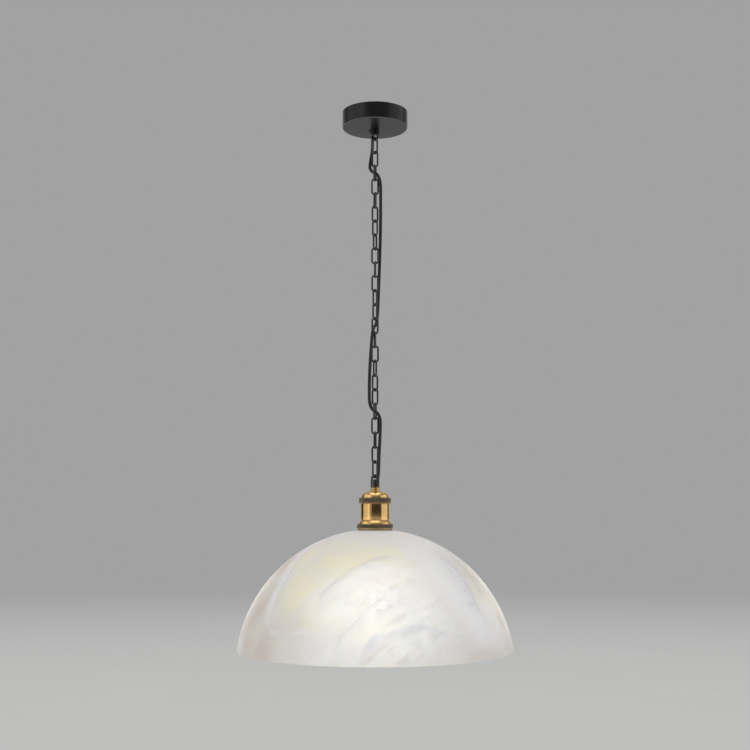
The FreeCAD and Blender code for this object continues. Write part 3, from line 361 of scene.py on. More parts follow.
class PendantStage(bpy.types.PropertyGroup):
    """Camera, floor and studio light."""

    camera_distance: length("Camera distance", "Distance of the camera from the pendant's axis", 1.7105)
    camera_height: length("Camera height", "Level of the camera under the ceiling", -0.6214)
    camera_tilt: bpy.props.FloatProperty(
        name="Camera tilt", description="How far the camera looks up", default=0.125, subtype="ANGLE")
    lens: bpy.props.FloatProperty(name="Lens", description="Focal length", default=55.35, unit="CAMERA")
    floor_level: length("Floor level", "Level of the room's floor under the ceiling", -2.4)
    floor: colour("Floor", "Colour of the floor", (0.66, 0.66, 0.65))
    backdrop: colour("Backdrop", "Colour behind the pendant", (0.36, 0.36, 0.365))
    floor_glow: share("Floor glow", "Light that the floor gives back from the room", 0.34)
    walls: share("Walls", "Brightness of the room round the pendant", 0.05)
    ceiling: share("Ceiling", "Brightness of the room above the pendant", 0.5)
    back_wall: share("Back wall", "Brightness of the room behind the pendant", 0.55)
    key_power: power("Key light", "Power of the softbox on the left", 21.0)
    side_power: power("Side light", "Power of the softbox on the right", 19.0)
    fill_power: power("Fill light", "Power of the softbox between camera and key light", 4.5)
    top_power: power("Top light", "Power of the softbox above", 20.0)


class PendantSettings(bpy.types.PropertyGroup):
    """All settings of the pendant light."""

    glass: bpy.props.PointerProperty(type=PendantGlass)
    brass: bpy.props.PointerProperty(type=PendantBrass)
    cable: bpy.props.PointerProperty(type=PendantCable)
    bulb: bpy.props.PointerProperty(type=PendantBulb)
    stage: bpy.props.PointerProperty(type=PendantStage)


# Modelling

def new_piece(name):
    """Names the primitive that was just added and puts its place into its mesh."""
    piece = bpy.context.object
    piece.name = name
    piece.data.name = name
    bpy.ops.object.transform_apply(location=True, rotation=True, scale=True)
    return piece


def make_active(piece):
    """Leaves one piece selected and active."""
    bpy.ops.object.select_all(action="DESELECT")
    piece.select_set(True)
    bpy.context.view_layer.objects.active = piece


def select_vertices(piece, chosen):
    """Goes to edit mode with the vertices selected whose place is chosen."""
    bpy.ops.object.mode_set(mode="EDIT")
    bpy.ops.mesh.select_mode(type="VERT")
    bpy.ops.mesh.select_all(action="DESELECT")
    bpy.ops.object.mode_set(mode="OBJECT")
    for vertex in piece.data.vertices:
        vertex.select = chosen(vertex.co)
    bpy.ops.object.mode_set(mode="EDIT")


def close_seams():
    """Merges doubled vertices of the active piece and turns its faces outwards."""
    bpy.ops.object.mode_set(mode="EDIT")
    bpy.ops.mesh.select_all(action="SELECT")
    bpy.ops.mesh.remove_doubles(threshold=MERGE_DISTANCE)
    bpy.ops.mesh.normals_make_consistent(inside=False)
    bpy.ops.object.mode_set(mode="OBJECT")


def apply_modifier(piece, kind, **settings):
    """Adds a modifier to a piece and applies it."""
    make_active(piece)
    modifier = piece.modifiers.new(kind.lower(), kind)
    for name, value in settings.items():
        setattr(modifier, name, value)
    bpy.ops.object.modifier_apply(modifier=modifier.name)


def round_edges(piece, width, segments, angle):
    """Rounds the edges of a piece that are sharper than an angle in degrees."""
    apply_modifier(
        piece, "BEVEL", width=width, segments=segments, limit_method="ANGLE", angle_limit=math.radians(angle),
        offset_type="OFFSET")


def smooth(piece, angle):
    """Smooth shading that keeps the edges sharper than an angle."""
    make_active(piece)
    bpy.ops.object.shade_smooth_by_angle(angle=angle)


def arc_points(start, stop, radius):
    """The points of an arc after its start, with its stop."""
    chord = stop - start
    half = chord.length / 2
    left = Vector((-chord.y, chord.x)).normalized() * math.copysign(1.0, radius)
    centre = (start + stop) / 2 - left * math.sqrt(radius * radius - half * half)
    first = math.atan2(start.y - centre.y, start.x - centre.x)
    turn = -math.copysign(2 * math.asin(half / abs(radius)), radius)
    points = []
    for step in range(1, ARC_STEPS + 1):
        angle = first + turn * step / ARC_STEPS
        points.append(centre + Vector((math.cos(angle), math.sin(angle))) * abs(radius))
    return points


def profile_points(top, corners):
    """A turned piece's outline as points of radius and level, in metres, closed."""
    spots = [Vector((corner[0] * MM, top - corner[1] * MM)) for corner in corners]
    points = [spots[0]]
    for index, corner in enumerate(corners):
        stop = spots[(index + 1) % len(corners)]
        if len(corner) == 3:
            points += arc_points(spots[index], stop, corner[2] * MM)
        else:
            points.append(stop)
    return points


def draw_line(name, points):
    """A line of edges, drawn by extruding one vertex from point to point in the XZ plane."""
    places = [Vector((point.x, 0.0, point.y)) for point in points]
    bpy.ops.object.select_all(action="DESELECT")
    bpy.ops.mesh.primitive_plane_add(size=MM, location=places[0])
    piece = new_piece(name)
    bpy.ops.object.mode_set(mode="EDIT")
    bpy.ops.mesh.merge(type="CENTER")
    for here, there in zip(places, places[1:]):
        bpy.ops.mesh.extrude_region_move(TRANSFORM_OT_translate={"value": there - here})
    return piece


def turn_piece(name, points, columns):
    """A closed outline spun round the pendant's axis."""
    piece = draw_line(name, points)
    bpy.ops.mesh.select_all(action="SELECT")
    bpy.ops.mesh.spin(steps=columns, angle=FULL_TURN, center=ORIGIN, axis=UP)
    close_seams()
    return piece


def row_points(points, top, bottom, rows):
    """The outline with the straight side between two levels divided into rows."""
    divided = []
    for here, there in zip(points, points[1:] + points[:1]):
        divided.append(here)
        is_side = abs(here.x - there.x) < MERGE_DISTANCE and abs(here.y - top) < MERGE_DISTANCE
        if is_side and abs(there.y - bottom) < MERGE_DISTANCE:
            divided += [here.lerp(there, row / rows) for row in range(1, rows)]
    return divided


def cut_knurl(piece, radius, top, bottom, rows, columns, depth):
    """Sinks every second vertex of a band, which leaves raised diamonds between crossing cuts."""
    row_height = (top - bottom) / rows
    column_angle = FULL_TURN / columns
    chamfer = 1.5 * depth
    tolerance = 0.1 * depth

    def is_pit(place):
        is_outside = abs(math.hypot(place.x, place.y) - radius) < tolerance
        row = round((top - place.z) / row_height)
        column = round(math.atan2(place.y, place.x) / column_angle)
        return is_outside and 0 < row < rows and (row + column) % 2 == 1

    for face in piece.data.polygons:
        is_outside = math.hypot(face.center.x, face.center.y) > radius - chamfer
        face.material_index = int(is_outside and bottom - chamfer < face.center.z < top + chamfer)
    make_active(piece)
    select_vertices(piece, is_pit)
    squeeze = (radius - depth) / radius
    bpy.ops.transform.resize(value=(squeeze, squeeze, 1.0), center_override=ORIGIN)
    bpy.ops.mesh.select_more(use_face_step=True)
    bpy.ops.mesh.quads_convert_to_tris(quad_method="SHORTEST_DIAGONAL")
    bpy.ops.object.mode_set(mode="OBJECT")


def bisect(piece, level, keep_below, fill=True):
    """Cuts a piece at a level and closes the cut, unless it is to stay open."""
    make_active(piece)
    bpy.ops.object.mode_set(mode="EDIT")
    bpy.ops.mesh.select_all(action="SELECT")
    bpy.ops.mesh.bisect(
        plane_co=(0.0, 0.0, level), plane_no=UP, use_fill=fill, clear_outer=keep_below,
        clear_inner=not keep_below)
    bpy.ops.object.mode_set(mode="OBJECT")


def tube_along(name, route, diameter):
    """A round cord whose smooth line has the route's points, in millimetres, as its control points."""
    curve = bpy.data.curves.new(name, "CURVE")
    curve.dimensions = "3D"
    curve.resolution_u = CORD_STEPS
    curve.bevel_depth = diameter / 2
    curve.bevel_resolution = CORD_ROUNDNESS
    curve.use_fill_caps = True
    spline = curve.splines.new("NURBS")
    spline.points.add(len(route) - 1)
    for point, place in zip(spline.points, route):
        point.co = (*[value * MM for value in place], 1.0)
    spline.order_u = CORD_ORDER
    spline.use_endpoint_u = True
    cord = bpy.data.objects.new(name, curve)
    bpy.context.scene.collection.objects.link(cord)
    make_active(cord)
    bpy.ops.object.convert(target="MESH")
    cord = bpy.context.object
    close_seams()
    smooth(cord, SOFT_EDGE)
    return cord


def copy_piece(piece, name):
    """A copy of a piece with a mesh of its own."""
    twin = piece.copy()
    twin.data = piece.data.copy()
    twin.name = name
    twin.data.name = name
    bpy.context.scene.collection.objects.link(twin)
    return twin


# Nodes of materials

def feed(tree, socket, value):
    """Links a socket to another node's output, or sets it to a value."""
    if isinstance(value, bpy.types.NodeSocket):
        tree.links.new(value, socket)
    elif socket.type == "RGBA" and len(value) == 3:
        socket.default_value = (*value, 1.0)
    else:
        socket.default_value = value


def add_node(tree, kind, inputs, **settings):
    """A node with its settings, and its sockets fed by name or number."""
    node = tree.nodes.new(kind)
    for name, value in settings.items():
        setattr(node, name, value)
    for name, value in inputs.items():
        feed(tree, node.inputs[name], value)
    return node


def mixed(tree, factor, first, second):
    """One colour turning into another. The node's colour sockets share their names, so they go by number."""
    node = add_node(tree, "ShaderNodeMix", {0: factor, 6: first, 7: second}, data_type="RGBA")
    return node.outputs[2]


def calculated(tree, operation, first, second=0.0):
    """The result of a sum with one number or two."""
    return add_node(tree, "ShaderNodeMath", {0: first, 1: second}, operation=operation).outputs[0]


def product(tree, first, second):
    """Two masks multiplied."""
    return calculated(tree, "MULTIPLY", first, second)


def strongest(tree, masks):
    """The strongest of several masks at each place."""
    total = masks[0]
    for mask in masks[1:]:
        total = calculated(tree, "MAXIMUM", total, mask)
    return total


def ranged(tree, value, low, high, to_low, to_high):
    """A value moved smoothly from one range to another."""
    node = add_node(
        tree, "ShaderNodeMapRange",
        {"Value": value, "From Min": low, "From Max": high, "To Min": to_low, "To Max": to_high},
        interpolation_type="SMOOTHSTEP")
    return node.outputs["Result"]


def vector_sum(tree, operation, *vectors):
    """A sum of vectors, as a vector or as a number."""
    node = add_node(tree, "ShaderNodeVectorMath", dict(enumerate(vectors)), operation=operation)
    return node.outputs["Value" if operation in ("DOT_PRODUCT", "DISTANCE", "LENGTH") else "Vector"]


def surface_place(tree):
    """The place on the object, in metres."""
    return tree.nodes.new("ShaderNodeTexCoord").outputs["Object"]


def surface_level(tree):
    """The level of the place on the object."""
    return add_node(tree, "ShaderNodeSeparateXYZ", {"Vector": surface_place(tree)}).outputs["Z"]


def axis_distance(tree):
    """How far the place on the object is from the pendant's axis."""
    return vector_sum(tree, "LENGTH", vector_sum(tree, "MULTIPLY", surface_place(tree), (1.0, 1.0, 0.0)))


def noise(tree, place, scale, detail, roughness=0.5):
    """A noise texture node at a place."""
    return add_node(
        tree, "ShaderNodeTexNoise",
        {"Vector": place, "Scale": scale, "Detail": detail, "Roughness": roughness})


def new_group(name, inputs, outputs):
    """A shader node group with named sockets: its tree, its inputs and its output node."""
    tree = bpy.data.node_groups.new(name, "ShaderNodeTree")
    for way, sockets in (("INPUT", inputs), ("OUTPUT", outputs)):
        for socket, kind in sockets.items():
            tree.interface.new_socket(socket, in_out=way, socket_type=f"NodeSocket{kind}")
    given = tree.nodes.new("NodeGroupInput").outputs
    result = tree.nodes.new("NodeGroupOutput")
    return tree, given, result


def placed_group(tree, name, inputs):
    """One of the shared groups in a material, with its own values."""
    node = tree.nodes.new("ShaderNodeGroup")
    node.node_tree = bpy.data.node_groups[name]
    for socket, value in inputs.items():
        feed(tree, node.inputs[socket], value)
    return node.outputs


def make_grain_group():
    """Fine grain, streaked where the stretch differs along the axes."""
    tree, given, result = new_group(
        "fine_grain", {"Stretch": "Vector", "Low": "Float", "High": "Float"},
        {"Value": "Float", "Height": "Float"})
    place = vector_sum(tree, "MULTIPLY", surface_place(tree), given["Stretch"])
    grain = noise(tree, place, 1.0, *GRAIN_NOISE).outputs["Fac"]
    feed(tree, result.inputs["Value"], ranged(tree, grain, *GRAIN_SPAN, given["Low"], given["High"]))
    feed(tree, result.inputs["Height"], grain)


def make_cloud_group():
    """Large soft clouds of tarnish, dust or handling."""
    tree, given, result = new_group(
        "soft_clouds", {"Scale": "Float", "Amount": "Float"}, {"Mask": "Float"})
    clouds = noise(tree, surface_place(tree), given["Scale"], *CLOUD_NOISE).outputs["Fac"]
    feed(tree, result.inputs["Mask"], ranged(tree, clouds, *CLOUD_SPAN, 0.0, given["Amount"]))


def make_tips_group():
    """Rubbed tips of a knurled band, which fade over the depth of its cuts."""
    tree, given, result = new_group(
        "rubbed_tips", {"Radius": "Float", "Depth": "Float", "Amount": "Float"}, {"Mask": "Float"})
    sunk = calculated(tree, "SUBTRACT", given["Radius"], axis_distance(tree))
    feed(tree, result.inputs["Mask"], ranged(tree, sunk, 0.0, given["Depth"], given["Amount"], 0.0))


def make_streak_group():
    """A streak along a circle of the glass's sphere, and a sheet that ends at it on the circle's left."""
    tree, given, result = new_group(
        "glass_streak",
        {"Place": "Vector", "Pole": "Vector", "Level": "Float", "Middle": "Vector", "Width": "Float",
         "Reach": "Float", "Sheet Width": "Float"},
        {"Line": "Float", "Sheet": "Float"})
    level = vector_sum(tree, "DOT_PRODUCT", given["Place"], given["Pole"])
    off_line = calculated(tree, "SUBTRACT", level, given["Level"])
    aside = calculated(tree, "ABSOLUTE", off_line)
    across = ranged(tree, aside, 0.0, given["Width"], 1.0, 0.0)
    along = vector_sum(tree, "DISTANCE", given["Place"], given["Middle"])
    ends = ranged(tree, along, product(tree, given["Reach"], STREAK_CORE), given["Reach"], 1.0, 0.0)
    edge = ranged(tree, off_line, 0.0, given["Width"], 0.0, 1.0)
    fading = ranged(tree, off_line, 0.0, given["Sheet Width"], 1.0, 0.0)
    feed(tree, result.inputs["Line"], product(tree, across, ends))
    feed(tree, result.inputs["Sheet"], product(tree, product(tree, edge, fading), ends))


def make_patch_group():
    """A soft patch in the glass round a spot."""
    tree, given, result = new_group(
        "glass_patch", {"Place": "Vector", "Middle": "Vector", "Reach": "Float"}, {"Mask": "Float"})
    away = vector_sum(tree, "DISTANCE", given["Place"], given["Middle"])
    feed(tree, result.inputs["Mask"], ranged(tree, away, 0.0, given["Reach"], 1.0, 0.0))


# Finishes

def new_finish(name, values):
    """A material with plain values on its shader: the material, its tree and its shader."""
    material = bpy.data.materials.new(name)
    material.use_nodes = True
    tree = material.node_tree
    shader = tree.nodes["Principled BSDF"]
    for socket, value in values.items():
        feed(tree, shader.inputs[socket], value)
    return material, tree, shader


def grained_finish(name, base, clouded, stretch, rough, relief, clouds, values, cloud_amount=0.6):
    """A finish with fine grain in its gloss, clouds in its colour and a little relief."""
    material, tree, shader = new_finish(name, values)
    grain = placed_group(tree, "fine_grain", {"Stretch": stretch, "Low": rough[0], "High": rough[1]})
    mask = placed_group(tree, "soft_clouds", {"Scale": clouds, "Amount": cloud_amount})["Mask"]
    feed(tree, shader.inputs["Base Color"], mixed(tree, mask, base, clouded))
    feed(tree, shader.inputs["Roughness"], grain["Value"])
    bump = add_node(
        tree, "ShaderNodeBump", {"Height": grain["Height"], "Strength": relief, "Distance": RELIEF_DEPTH})
    feed(tree, shader.inputs["Normal"], bump.outputs["Normal"])
    return material


def listed_finish(name):
    """One of the listed finishes."""
    return grained_finish(name, *FINISHES[name])


def paint_over(material, mask, paint):
    """Mixes a colour over a finish where a mask asks for it."""
    tree = material.node_tree
    base = tree.nodes["Principled BSDF"].inputs["Base Color"]
    feed(tree, base, mixed(tree, mask, base.links[0].from_socket, paint))


def black_enamel(edge_round, rubbed, edge_sheen_share):
    """Satin black paint with faint spinning marks, and a painted highlight in lighter grey along the cup's
    rounded lower edge.
    """
    material = listed_finish("black_enamel")
    tree = material.node_tree
    low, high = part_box("rose_cup")
    inner = high.x - edge_round
    upper = low.z + edge_round
    start, full = [part * edge_round for part in EDGE_SHEEN_SPAN]
    outwards = ranged(tree, axis_distance(tree), inner + start, inner + full, 0.0, 1.0)
    downwards = ranged(tree, surface_level(tree), upper - start, upper - full, 0.0, edge_sheen_share)
    # Painted highlight along the cup's rounded lower edge
    paint_over(material, product(tree, outwards, downwards), rubbed)
    return material


def polished_brass(brass):
    """Polished turned brass with faint turning marks and a little tarnish."""
    return grained_finish(
        "polished_brass", brass.bright, brass.tarnish, (14.0, 14.0, 2600.0), (0.09, 0.17), 0.04, 70.0, METAL,
        cloud_amount=0.35)


def aged_brass(brass, name, radius):
    """Antiqued brass of a knurled band, rubbed bright on the tips of its diamonds."""
    material = grained_finish(
        name, brass.aged, brass.tarnish, (1500.0,) * 3, (0.30, 0.44), 0.12, 240.0, METAL, cloud_amount=0.3)
    tips = placed_group(material.node_tree, "rubbed_tips", {
        "Radius": radius, "Depth": brass.knurl_depth, "Amount": brass.tip_share})["Mask"]
    paint_over(material, tips, brass.rubbed)
    return material


def cable_sheath(cable):
    """Smooth dark sheath with faint drawing marks."""
    lighter = tuple(value * 1.35 for value in cable.sheath)
    return grained_finish(
        "cable_sheath", cable.sheath, lighter, (500.0,) * 3, (0.40, 0.50), 0.03, 55.0, PLASTIC)


def wire_insulation(name, base):
    """Thin coloured plastic round a wire."""
    duller = tuple(value * 0.8 for value in base)
    return grained_finish(name, base, duller, (1800.0,) * 3, (0.3, 0.42), 0.06, 90.0, PLASTIC)


def sphere_radius(glass):
    """The outer radius of the sphere that the shade is a part of."""
    return (glass.rim_radius ** 2 + glass.dome_height ** 2) / (2 * glass.dome_height)


def sphere_centre(glass):
    """The middle of the shade's sphere."""
    land_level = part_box("glass_shade")[1].z
    return Vector((0.0, 0.0, land_level - math.sqrt(sphere_radius(glass) ** 2 - glass.land_radius ** 2)))


def glass_place(glass, spot):
    """A spot of (heading, depth) as a direction from the middle of the shade's sphere."""
    heading, depth = spot
    outer = sphere_radius(glass)
    rise = (math.sqrt(outer * outer - glass.land_radius ** 2) - depth * MM) / outer
    reach = math.sqrt(1.0 - rise * rise)
    angle = math.radians(heading)
    return Vector((reach * math.cos(angle), reach * math.sin(angle), rise))


def streak(tree, place, glass, spots, width, reach, sheet_width=0.0):
    """One streak's masks, of its line and its sheet."""
    outer = sphere_radius(glass)
    first, middle, last = [glass_place(glass, spot) for spot in spots]
    pole = (middle - first).cross(last - first).normalized()
    return placed_group(tree, "glass_streak", {
        "Place": place, "Pole": pole, "Level": pole.dot(first), "Middle": middle,
        "Width": width * MM / outer, "Reach": reach * MM / outer, "Sheet Width": sheet_width * MM / outer})


def patches(tree, place, glass, spots):
    """All patches of a kind as one mask."""
    outer = sphere_radius(glass)
    masks = []
    for spot, reach in spots:
        inputs = {"Place": place, "Middle": glass_place(glass, spot), "Reach": reach * MM / outer}
        masks.append(placed_group(tree, "glass_patch", inputs)["Mask"])
    return strongest(tree, masks)


def stirred(tree, place, scale, detail, amounts):
    """A place pushed about by noise, as stirred glass is."""
    push = noise(tree, place, scale, detail).outputs["Color"]
    drift = vector_sum(tree, "SUBTRACT", push, (NOISE_MIDDLE,) * 3)
    return vector_sum(tree, "MULTIPLY_ADD", drift, amounts, place)


def filaments(tree, place, scale, detail, width):
    """Thin wandering lines, where a noise passes its middle value."""
    value = noise(tree, place, scale, detail).outputs["Fac"]
    aside = calculated(tree, "ABSOLUTE", calculated(tree, "SUBTRACT", value, NOISE_MIDDLE))
    return ranged(tree, aside, 0.0, width, 1.0, 0.0)


def combed(tree, place, cell_length, cell_width, detail, roughness):
    """Noise drawn out into strands that run up to the right on the front of the shade."""
    drawn_out = add_node(
        tree, "ShaderNodeMapping",
        {"Vector": place, "Rotation": (0.0, STRAND_SLOPE, 0.0),
         "Scale": (cell_length, cell_width, cell_width)},
        vector_type="TEXTURE")
    return noise(tree, drawn_out.outputs["Vector"], 1.0, detail, roughness).outputs["Fac"]


def alabaster_glass(glass):
    """Swirled alabaster glass: gold and smoky clouds, milky sheets and thin lilac folds in cream glass, with
    painted shade on its left side and a painted glow in its emission.
    """
    material, tree, shader = new_finish("alabaster_glass", {
        "Subsurface Weight": 1.0, "Subsurface Radius": SCATTER_TINT, "Subsurface Scale": glass.scatter,
        "IOR": GLASS_IOR, "Transmission Weight": glass.clearness, "Emission Strength": glass.painted_glow})
    from_middle = vector_sum(tree, "SUBTRACT", surface_place(tree), sphere_centre(glass))
    place = vector_sum(tree, "DIVIDE", from_middle, (sphere_radius(glass),) * 3)
    flowed = stirred(tree, place, *FLOW)
    wavy = stirred(tree, flowed, *RIPPLE)
    wisp = combed(tree, flowed, *WISPS)

    gold = product(tree, patches(tree, flowed, glass, GOLD_PATCHES), ranged(tree, wisp, *GOLD_SHARE))
    clouds = ranged(tree, noise(tree, flowed, *CLOUDS).outputs["Fac"], *CLOUD_SHARE)
    # Smoky clouds, and painted shade on the left side where the left smoke patches lie
    smoky_and_shaded_places = strongest(tree, [patches(tree, flowed, glass, SMOKE_AND_SHADE_PATCHES), clouds])
    smoke_and_shade = product(tree, smoky_and_shaded_places, ranged(tree, wisp, *SMOKE_SHARE))
    folds = [streak(tree, wavy, glass, *fold) for fold in FOLD_STREAKS]
    lines = strongest(tree, [fold["Line"] for fold in folds])
    sheets = strongest(tree, [fold["Sheet"] for fold in folds])
    milk_lines = strongest(tree, [streak(tree, wavy, glass, *milk)["Line"] for milk in MILK_STREAKS])
    white = patches(tree, flowed, glass, WHITE_PATCHES)
    milk = product(tree, strongest(tree, [milk_lines, sheets, white]), ranged(tree, wisp, *MILK_SHARE))
    breaks = noise(tree, place, *BREAKS).outputs["Fac"]
    veins = product(tree, lines, ranged(tree, breaks, *VEIN_SHARE))
    threads = product(tree, filaments(tree, flowed, *THREADS), ranged(tree, wisp, *THREAD_SHARE))
    crease_strands = ranged(tree, combed(tree, wavy, *CREASES), *CREASE_SHARE)
    creased_sheets = ranged(tree, strongest(tree, [sheets, white]), *SHEET_SHARE)
    creases = product(tree, crease_strands, creased_sheets)

    pattern = glass.cream
    for mask, tint in (
            (smoke_and_shade, glass.smoke_and_shade), (gold, glass.gold), (milk, glass.milk), (threads, glass.milk),
            (creases, glass.crease), (veins, glass.vein)):
        pattern = mixed(tree, mask, pattern, tint)
    feed(tree, shader.inputs["Base Color"], pattern)
    # Painted glow: emission that is paler where the glass is paler and strongest at the glow spots
    painted_glow_weight = vector_sum(tree, "MULTIPLY", pattern, pattern)
    lit = mixed(tree, patches(tree, flowed, glass, PAINTED_GLOW_PATCHES), glass.painted_glow_faint, glass.painted_glow_full)
    feed(tree, shader.inputs["Emission Color"], vector_sum(tree, "MULTIPLY", painted_glow_weight, lit))
    feed(tree, shader.inputs["Roughness"], ranged(tree, wisp, *GLASS_ROUGHNESS))
    return material


def bulb_glass(bulb):
    """Frosted glass, lit from within, brightest at its lower end and dim towards the neck."""
    low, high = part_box("bulb_globe")
    dim = tuple(value * bulb.neck_share for value in bulb.warm)
    material, tree, shader = new_finish("bulb_glass", {
        "Base Color": bulb.frost, "Emission Strength": bulb.strength, "IOR": GLASS_IOR})
    neck = ranged(tree, surface_level(tree), low.z, high.z - bulb.neck_depth, 0.0, 1.0)
    feed(tree, shader.inputs["Emission Color"], mixed(tree, neck, bulb.warm, dim))
    grain = placed_group(tree, "fine_grain", {"Stretch": (900.0,) * 3, "Low": 0.4, "High": 0.55})
    feed(tree, shader.inputs["Roughness"], grain["Value"])
    return material


def finish_nodes(material, *names):
    """Gives CAD nodes a material."""
    for name in names:
        for slot in frame["nodes"][name].material_slots:
            slot.material = material


def dress(piece, body, slot, node, *materials):
    """Gives a new piece its materials and body and hides the node that it stands for; the finish slot is not
    used.
    """
    for material in materials:
        piece.data.materials.append(material)
    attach(piece, body)
    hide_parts(node)


# Operators

class PENDANT_OT_groups(bpy.types.Operator):
    """Makes the node groups that the finishes share"""

    bl_idname = "pendant.groups"
    bl_label = "Shared node groups"

    def execute(self, context):
        make_grain_group()
        make_cloud_group()
        make_tips_group()
        make_streak_group()
        make_patch_group()
        return {"FINISHED"}


class PENDANT_OT_rose(bpy.types.Operator):
    """Finishes the ceiling rose and the like metals inside the holder, and cuts the thread on the stud"""

    bl_idname = "pendant.rose"
    bl_label = "Ceiling rose"

    edge_round: length("Edge round", "Rounding of the cup's lower edge", 0.0022)
    # A painted highlight along the cup's rounded lower edge: its lighter grey, and how strong it is
    rubbed: colour("Rubbed", "Paint rubbed thin along the edge", (0.21, 0.21, 0.22))
    edge_sheen_share: share("Rubbed share", "How far the edge is rubbed", 0.85)
    thread_pitch: length("Thread pitch", "Pitch of the stud's thread", 0.001)
    thread_depth: length("Thread depth", "Depth of the stud's thread", 0.0005)

    def execute(self, context):
        zinc = listed_finish("zinc_steel")
        brass_nodes = ("terminal_screws", "earth_screw", "socket_screws", "centre_contact", "screw_shell")
        finish_nodes(black_enamel(self.edge_round, self.rubbed, self.edge_sheen_share), "rose_cup")
        finish_nodes(zinc, "ceiling_strap", "rose_nuts", "cap_nut")
        finish_nodes(listed_finish("terminal_brass"), *brass_nodes)
        finish_nodes(listed_finish("black_nylon"), "cable_bush")
        finish_nodes(listed_finish("terminal_plastic"), "terminal_block")
        dress(self.threaded_stud(), "rose", "zinc_steel", "rose_stud", zinc)
        return {"FINISHED"}

    def threaded_stud(self):
        """The stud with a real thread: one turn's outline wound up the stud and cut level at both ends."""
        low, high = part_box("rose_stud")
        pitch = self.thread_pitch
        radius = high.x
        start = low.z - pitch
        turn = [
            Vector((radius, start)), Vector((radius - self.thread_depth, start + pitch / 2)),
            Vector((radius, start + pitch))]
        stud = draw_line("threaded_stud", turn)
        bpy.ops.object.mode_set(mode="OBJECT")
        turns = math.ceil((high.z - low.z) / pitch) + 2
        apply_modifier(
            stud, "SCREW", axis="Z", angle=FULL_TURN, screw_offset=pitch, iterations=turns,
            steps=THREAD_STEPS, render_steps=THREAD_STEPS, use_merge_vertices=True,
            merge_threshold=MERGE_DISTANCE)
        bisect(stud, high.z, keep_below=True)
        bisect(stud, low.z, keep_below=False)
        close_seams()
        smooth(stud, METAL_EDGE)
        return stud


class PENDANT_OT_chain(bpy.types.Operator):
    """Finishes the chain's links and the loop that they hang from"""

    bl_idname = "pendant.chain"
    bl_label = "Chain"

    def execute(self, context):
        links = [name for name in frame["nodes"] if name.startswith("chain_link")]
        finish_nodes(listed_finish("chain_metal"), "rose_loop", *links)
        return {"FINISHED"}


class PENDANT_OT_cable(bpy.types.Operator):
    """Lays the cable through the chain, parted where the chain's ends bend"""

    bl_idname = "pendant.cable"
    bl_label = "Supply cable"

    # Levels where the cable passes from one moving body to the next, in millimetres
    upper_levels = (-31.4, -54.0, -83.0)
    lower_levels = (-511.5, -548.5, -564.0)

    def execute(self, context):
        cable = context.scene.pendant.cable
        whole = tube_along("cable_whole", CABLE_ROUTE, cable.diameter)
        whole.data.materials.append(cable_sheath(cable))
        exit_level, first_joint, chain_top = self.upper_levels
        chain_bottom, last_joint, entry_level = self.lower_levels
        stretches = [
            ("cable_at_rose", None, first_joint, ("rose", "first_link")),
            ("cable_at_first_link", first_joint, chain_top, ("first_link", "chain")),
            ("cable_in_chain", chain_top, chain_bottom, ("chain",)),
            ("cable_at_last_link", chain_bottom, last_joint, ("chain", "last_link")),
            ("cable_at_lamp", last_joint, None, ("last_link", "lamp")),
        ]
        for name, top, bottom, bodies in stretches:
            stretch = copy_piece(whole, name)
            if top is not None:
                bisect(stretch, top * MM, keep_below=True)
            if bottom is not None:
                bisect(stretch, bottom * MM, keep_below=False)
            smooth(stretch, SOFT_EDGE)
            if len(bodies) == 1:
                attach(stretch, bodies[0])
            else:
                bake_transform(stretch)
        bpy.data.objects.remove(whole)
        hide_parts("cable_upper")
        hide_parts("cable_run")
        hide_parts("cable_lower")
        return {"FINISHED"}


class PENDANT_OT_wires(bpy.types.Operator):
    """Lays the stripped wires in the rose and finishes those in the holder"""

    bl_idname = "pendant.wires"
    bl_label = "Wires"

    def execute(self, context):
        cable = context.scene.pendant.cable
        slots = {"live": "brown_insulation", "neutral": "blue_insulation", "earth": "green_insulation"}
        for role, route in ROSE_WIRES.items():
            insulation = wire_insulation(slots[role], tuple(getattr(cable, role)))
            wire = tube_along(f"{role}_wire_in_rose", route, cable.core_diameter)
            dress(wire, "rose", slots[role], f"rose_{role}_wire", insulation)
            finish_nodes(insulation, f"lamp_{role}_wire")
        return {"FINISHED"}


